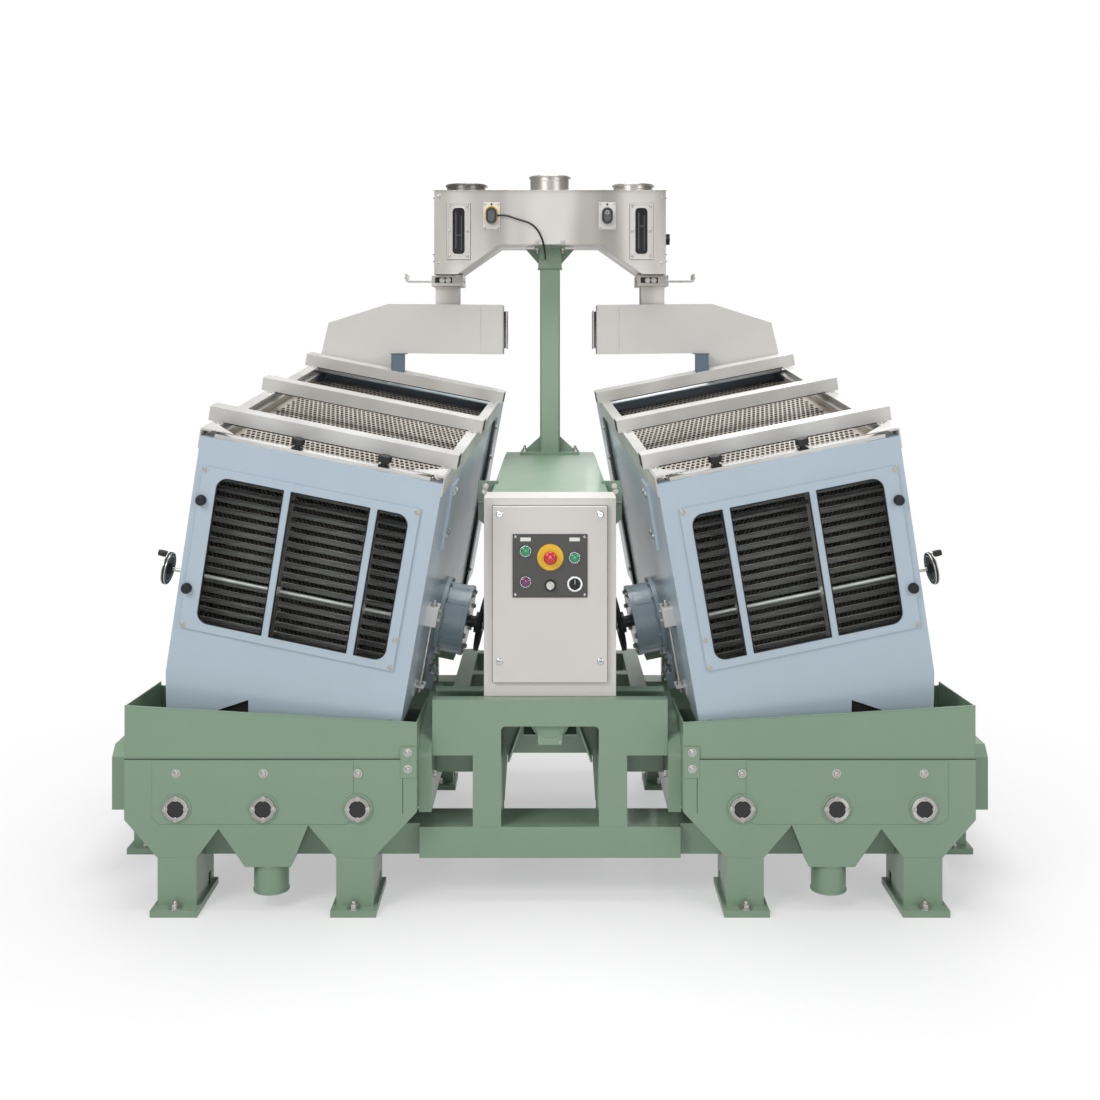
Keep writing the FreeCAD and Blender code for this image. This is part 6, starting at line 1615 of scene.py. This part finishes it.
@dataclass(frozen=True)
class TrayDetails:
    """Pressed dimples and rolled lips of the trays."""

    top: float = 0.719
    span: tuple[float, float, float, float] = (0.044, 0.706, 0.120, 1.400)
    sheet_rear: float = 1.328
    apron: float = 0.002
    pitch: Pair = (0.0165, 0.0340)
    pit_stretch: Pair = (0.95, 1.9)
    pit_rim: Profile = ((0.0076, 0.0), (0.0070, 0.0014), (0.0064, 0.0014))
    pit_floor_shade: Profile = ((0.0064, 0.0008), (0.0, 0.0008))
    boss_pitch: Pair = (0.0140, 0.0150)
    boss_rows: float = 5.2
    boss_stretch: Pair = (0.8, 1.15)
    boss: Profile = ((0.0040, 0.0), (0.0022, 0.0030), (0.0, 0.0030))
    foot: float = 0.092
    rise: float = 0.033
    count: int = 20
    front: float = 0.112
    lip_span: Pair = (0.009, 0.741)
    lip_folds: tuple[Point, ...] = ((0.0045, 0.0048, 0.0035), (0.0118, 0.0040, 0.0028))
    shade: Pair = (0.004, 0.30)

    def build(self, bench: Bench) -> None:
        """Press the dimples of the top trays and roll the lips of all of them."""
        for side, sign in SIDES:
            pose = bench.site.deck(sign)
            self._dimples(side, pose, bench)
            self._lips(side, pose, bench)

    @staticmethod
    def _rows(pitch: Pair, first: float, last: float, left: float, right: float) -> Iterable[Pair]:
        """Yield the staggered places of the pits or bosses."""
        across, along = pitch
        for row in range(int((last - first) / along)):
            offset = across / 2 if row % 2 else 0.0
            for column in range(int((right - left - offset) / across)):
                yield left + offset + (column + 0.5) * across, first + (row + 0.5) * along

    def _dimples(self, side: str, pose: Matrix, bench: Bench) -> None:
        """Press pits with raised rims into the uppermost tray and its apron, with dark floors of painted shade,
        and lay dark sheets of painted shade with shaded bosses behind each lip.
        """
        left, right, first, last = self.span
        rims = Shaper(side + "_tray_rims")
        pits = Shaper(side + "_tray_pit_and_gap_shade")
        stretched = Matrix.Diagonal((*self.pit_stretch, 1.0, 1.0))
        for x, y in self._rows(self.pitch, first, last, left, right):
            spot = pose @ Matrix.Translation((x, y, self.top)) @ stretched
            rims.lathe(self.pit_rim, spot, 8, closed=True)
            # Each pit's floor is a dark disc: painted shade.
            pits.lathe(self.pit_floor_shade, spot, 8)
        apron = box_outline(left, right, self.sheet_rear, last)
        rims.slab(apron, self.apron, lifted(pose, self.top - self.apron))
        bench.keep(rims, TRAY, side + "_deck")
        near, far = (self.front + behind for behind in self.shade)
        bosses = Shaper(side + "_tray_bosses")
        stretched = Matrix.Diagonal((*self.boss_stretch, 1.0, 1.0))
        for level in range(self.count - 1):
            height = lifted(pose, self.foot + level * self.rise + 0.0002)
            # A dark sheet behind each lip paints the shade between the trays.
            pits.slab(box_outline(*self.lip_span, near, far), 0.0006, height)
            last_row = near + self.boss_rows * self.boss_pitch[1]
            for x, y in self._rows(self.boss_pitch, near, last_row, *self.lip_span):
                bosses.lathe(self.boss, height @ Matrix.Translation((x, y, 0.0005)) @ stretched, 5)
        bench.keep(pits, DARK_FILL_AND_SHADE, side + "_deck")
        bench.keep(bosses, SHADED_TRAY_BOSS, side + "_deck")

    def _lips(self, side: str, pose: Matrix, bench: Bench) -> None:
        """Roll a double fold along the front edge of each tray."""
        lips = Shaper(side + "_tray_lips")
        left, right = self.lip_span
        for level in range(self.count):
            top = self.foot + level * self.rise
            for drop, radius, forward in self.lip_folds:
                place = Matrix.Translation((left, self.front - forward, top - drop))
                lips.lathe(bar_profile(radius, right - left), pose @ place @ QUARTER_TURN, 10)
        bench.keep(lips, TRAY_LIP, side + "_deck")


@dataclass(frozen=True)
class DeckSides:
    """Fittings of the drive drums and of the decks' inner sides."""

    face: float = 0.750
    drum: Pair = (0.640, 0.130)
    drum_bolts: tuple[tuple[float, float, int, float], ...] = (
        (0.014, 0.1278, 12, 0.0115), (0.096, 0.104, 8, 0.013),
    )
    drum_bands: tuple[Point, ...] = ((0.0145, 0.021, 0.1225), (0.080, 0.0963, 0.1222))
    band_inside: float = 0.1195
    rib: Point = (0.1205, 0.0145, 0.075)
    disc: Profile = (
        (0.0, 0.1334), (0.0962, 0.1334), (0.0972, 0.1350), (0.0972, 0.1385), (0.0952, 0.1395), (0.0952, 0.1405),
        (0.0972, 0.1415), (0.0972, 0.1450), (0.0962, 0.1466), (0.030, 0.1466), (0.028, 0.1470), (0.0, 0.1470),
    )
    washer: Profile = ((0.0285, 0.1468), (0.0285, 0.1492), (0.018, 0.1492))
    nut: Point = (0.0216, 0.0148, 0.1460)
    nut_end: Profile = ((0.0125, 0.1600), (0.0125, 0.1622), (0.0105, 0.1640), (0.0, 0.1640))
    plate_screws: tuple[Pair, ...] = ((0.272, 0.666), (0.262, 0.528), (0.320, 0.666), (0.320, 0.528))
    plate: float = 0.008
    plate_screw: float = 0.0085
    flats: float = 0.013
    bracket_y: Pair = (0.458, 0.510)
    bracket: tuple[Pair, ...] = ((0.008, 0.024), (0.030, -0.034))
    bracket_nut: Pair = (0.019, -0.006)
    post: tuple[float, float, float, float] = (1.2355, 1.3005, -0.1505, 0.7235)
    post_depth: float = 0.0106
    post_screws: tuple[float, ...] = (0.110, 0.355, 0.570, 0.690)
    block: tuple[float, float, float, float] = (0.150, 0.214, 0.262, 0.322)
    block_reach: float = 0.036
    block_skin: Pair = (0.0006, 0.0008)
    block_bolts: Pair = (-0.016, 0.016)
    clip_z: float = 0.040
    rod: Point = (0.0040, 0.0047, 0.0025)
    rod_foot: float = 0.030

    def build(self, bench: Bench) -> None:
        """Make the side pieces of both decks."""
        for side, sign in SIDES:
            self._drum(side, sign, bench)
            self._disc(side, sign, bench)
            self._plates(side, sign, bench)
            self._tension(side, sign, bench)

    def _out(self, sign: float, bench: Bench, along: float, y: float, z: float) -> Matrix:
        """Return a pose that looks away from the deck's inner side, along metres off its face."""
        return bench.deck_face(sign, (self.face + along, y, z), ACROSS)

    def _drum(self, side: str, sign: float, bench: Bench) -> None:
        """Bolt the drum's flange and cover, and raise its cast bands."""
        bolts = Shaper(side + "_drum_bolts")
        for along, radius, count, flats in self.drum_bolts:
            axis = self._out(sign, bench, along, *self.drum)
            for across, up in ring_points(radius, count, 0.2):
                hex_bolt(bolts, axis @ Matrix.Translation((across, up, 0.0)), flats)
        bench.keep(bolts, ZINC, side + "_deck")
        bands = Shaper(side + "_drum_bands")
        axis = self._out(sign, bench, 0.0, *self.drum)
        for start, end, radius in self.drum_bands:
            band = [
                (self.band_inside, start), (radius - 0.001, start), (radius, start + 0.0012),
                (radius, end - 0.0015), (radius - 0.0015, end), (self.band_inside, end),
            ]
            bands.lathe(band, axis, 64, closed=True)
        radius, start, length = self.rib
        for turn in range(4):
            spin = Matrix.Rotation(math.radians(45 + 90 * turn), 4, "Z")
            rib = axis @ spin @ Matrix.Translation((radius, 0.0, start))
            bands.slab(box_outline(-0.0016, 0.0016, -0.005, 0.005), length, rib)
        bench.keep(bands, CASTING, side + "_deck")

    def _disc(self, side: str, sign: float, bench: Bench) -> None:
        """Rim the flywheel disc in black and cap its nut and washer in bright steel."""
        axis = self._out(sign, bench, 0.0, *self.drum)
        disc = Shaper(side + "_disc_rim")
        disc.lathe(self.disc, axis, 64)
        bench.keep(disc, GASKET, side + "_drive_shaft_body")
        radius, depth, seat = self.nut
        nut = Shaper(side + "_shaft_nut")
        nut.lathe(self.washer, axis, 36)
        nut.slab(ring_points(radius, 6), depth, lifted(axis, seat), 0.0015)
        nut.lathe(self.nut_end, axis, 24)
        bench.keep(nut, CHROME, side + "_drive_shaft_body")

    def _plates(self, side: str, sign: float, bench: Bench) -> None:
        """Screw the side plate, the lower bracket and the dark corner post."""
        bolts = Shaper(side + "_side_bolts")
        for y, z in self.plate_screws:
            dome_screw(bolts, self._out(sign, bench, self.plate, y, z), self.plate_screw)
        first, last, low, high = self.post
        for z in self.post_screws:
            hex_bolt(bolts, self._out(sign, bench, self.post_depth, (first + last) / 2, z), self.flats)
        along, up = self.bracket_nut
        for y in self.bracket_y:
            for reach, z in self.bracket:
                hex_bolt(bolts, self._out(sign, bench, reach, y, z), self.flats)
            hexagon_nut(bolts, bench.deck_face(sign, (self.face + along, y, up), UPWARD), self.flats, 0.016)
        bench.keep(bolts, ZINC, side + "_deck")
        post = Shaper(side + "_dark_post")
        corner = bench.site.deck(sign) @ Matrix.Translation((self.face, 0.0, 0.0)) @ QUARTER_TURN
        post.slab(box_outline(-high, -low, first, last), self.post_depth, corner, 0.0012)
        bench.keep(post, DARK_PAINT, side + "_deck")

    def _tension(self, side: str, sign: float, bench: Bench) -> None:
        """Face the tension block and run its threaded rod down to a small clip."""
        first, last, low, high = self.block
        middle, centre = (first + last) / 2, (low + high) / 2
        skin, front = self.block_skin
        block = Shaper(side + "_tension_block")
        outline = rounded_rectangle(last - first + 2 * skin, high - low + 2 * skin, 0.003)
        block.slab(outline, self.block_reach + front, self._out(sign, bench, 0.0, middle, centre), 0.0015)
        clip = self._out(sign, bench, 0.0, middle, self.clip_z)
        block.slab(rounded_rectangle(0.050, 0.040, 0.003), 0.006, clip, 0.001)
        block.slab(box_outline(-0.025, 0.025, 0.012, 0.018), 0.034, clip, 0.001)
        bench.keep(block, ALLOY, side + "_deck")
        rod = Shaper(side + "_tension_rod")
        x = self.face + self.block_reach / 2
        foot = bench.deck_face(sign, (x, middle, self.rod_foot), UPWARD)
        threaded(rod, foot, *self.rod, low - self.rod_foot)
        nuts = (
            (high + skin, UPWARD, 0.016, 0.018), (low - skin, DOWNWARD, 0.016, 0.0),
            (0.058, UPWARD, 0.014, 0.0), (0.052, DOWNWARD, 0.014, 0.0),
        )
        for z, outward, flats, stud in nuts:
            hexagon_nut(rod, bench.deck_face(sign, (x, middle, z), outward), flats, stud)
        for up in self.block_bolts:
            hex_bolt(rod, self._out(sign, bench, self.block_reach + front, middle, centre + up), 0.011)
        bench.keep(rod, ZINC, side + "_deck")


@dataclass(frozen=True)
class RockerFittings:
    """Washers and caps on the pivots of the rocking arms."""

    stations: tuple[tuple[str, float], ...] = (("front", 0.500), ("rear", 1.240))
    drop: float = 0.075
    length: float = 0.090
    tilt: float = 20.0
    outer_faces: tuple[Pair, ...] = ((0.092, -1.0), (0.658, 1.0))
    cap: Profile = ((0.0175, 0.0), (0.0175, 0.0016), (0.0120, 0.0020), (0.0112, 0.0050), (0.0, 0.0056))

    def build(self, bench: Bench) -> None:
        """Cap the pivots of every rocker."""
        lean = math.radians(self.tilt)
        for side, sign in SIDES:
            for name, along in self.stations:
                caps = Shaper(side + "_" + name + "_pivot_caps")
                bottom = (along - self.length * math.sin(lean), -self.drop - self.length * math.cos(lean))
                for y, z in ((along, -self.drop), bottom):
                    for x, outward in self.outer_faces:
                        caps.lathe(self.cap, bench.deck_face(sign, (x, y, z), (outward, 0.0, 0.0)), 28)
                bench.keep(caps, ZINC, side + "_" + name + "_rocker_body")


def main() -> None:
    """Dress the machine piece by piece."""
    logging.basicConfig(level=logging.INFO, format="%(name)s: %(message)s")
    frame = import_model()
    bpy.context.scene.view_settings.view_transform = "Standard"
    site = Site.measured()
    bench = Bench(site, Paints())
    Studio().build(site)
    SensorCable().build(site, bench.paints)
    NodeDress().apply(frame["nodes"], bench.paints)
    fittings = (
        HopperFittings(), FrameFittings(), CabinetFittings(), FeederFittings(), HoodFittings(),
        DeckFront(), TrayDetails(), DeckSides(), RockerFittings(),
    )
    for group in fittings:
        group.build(bench)


if __name__ == "__main__":
    main()
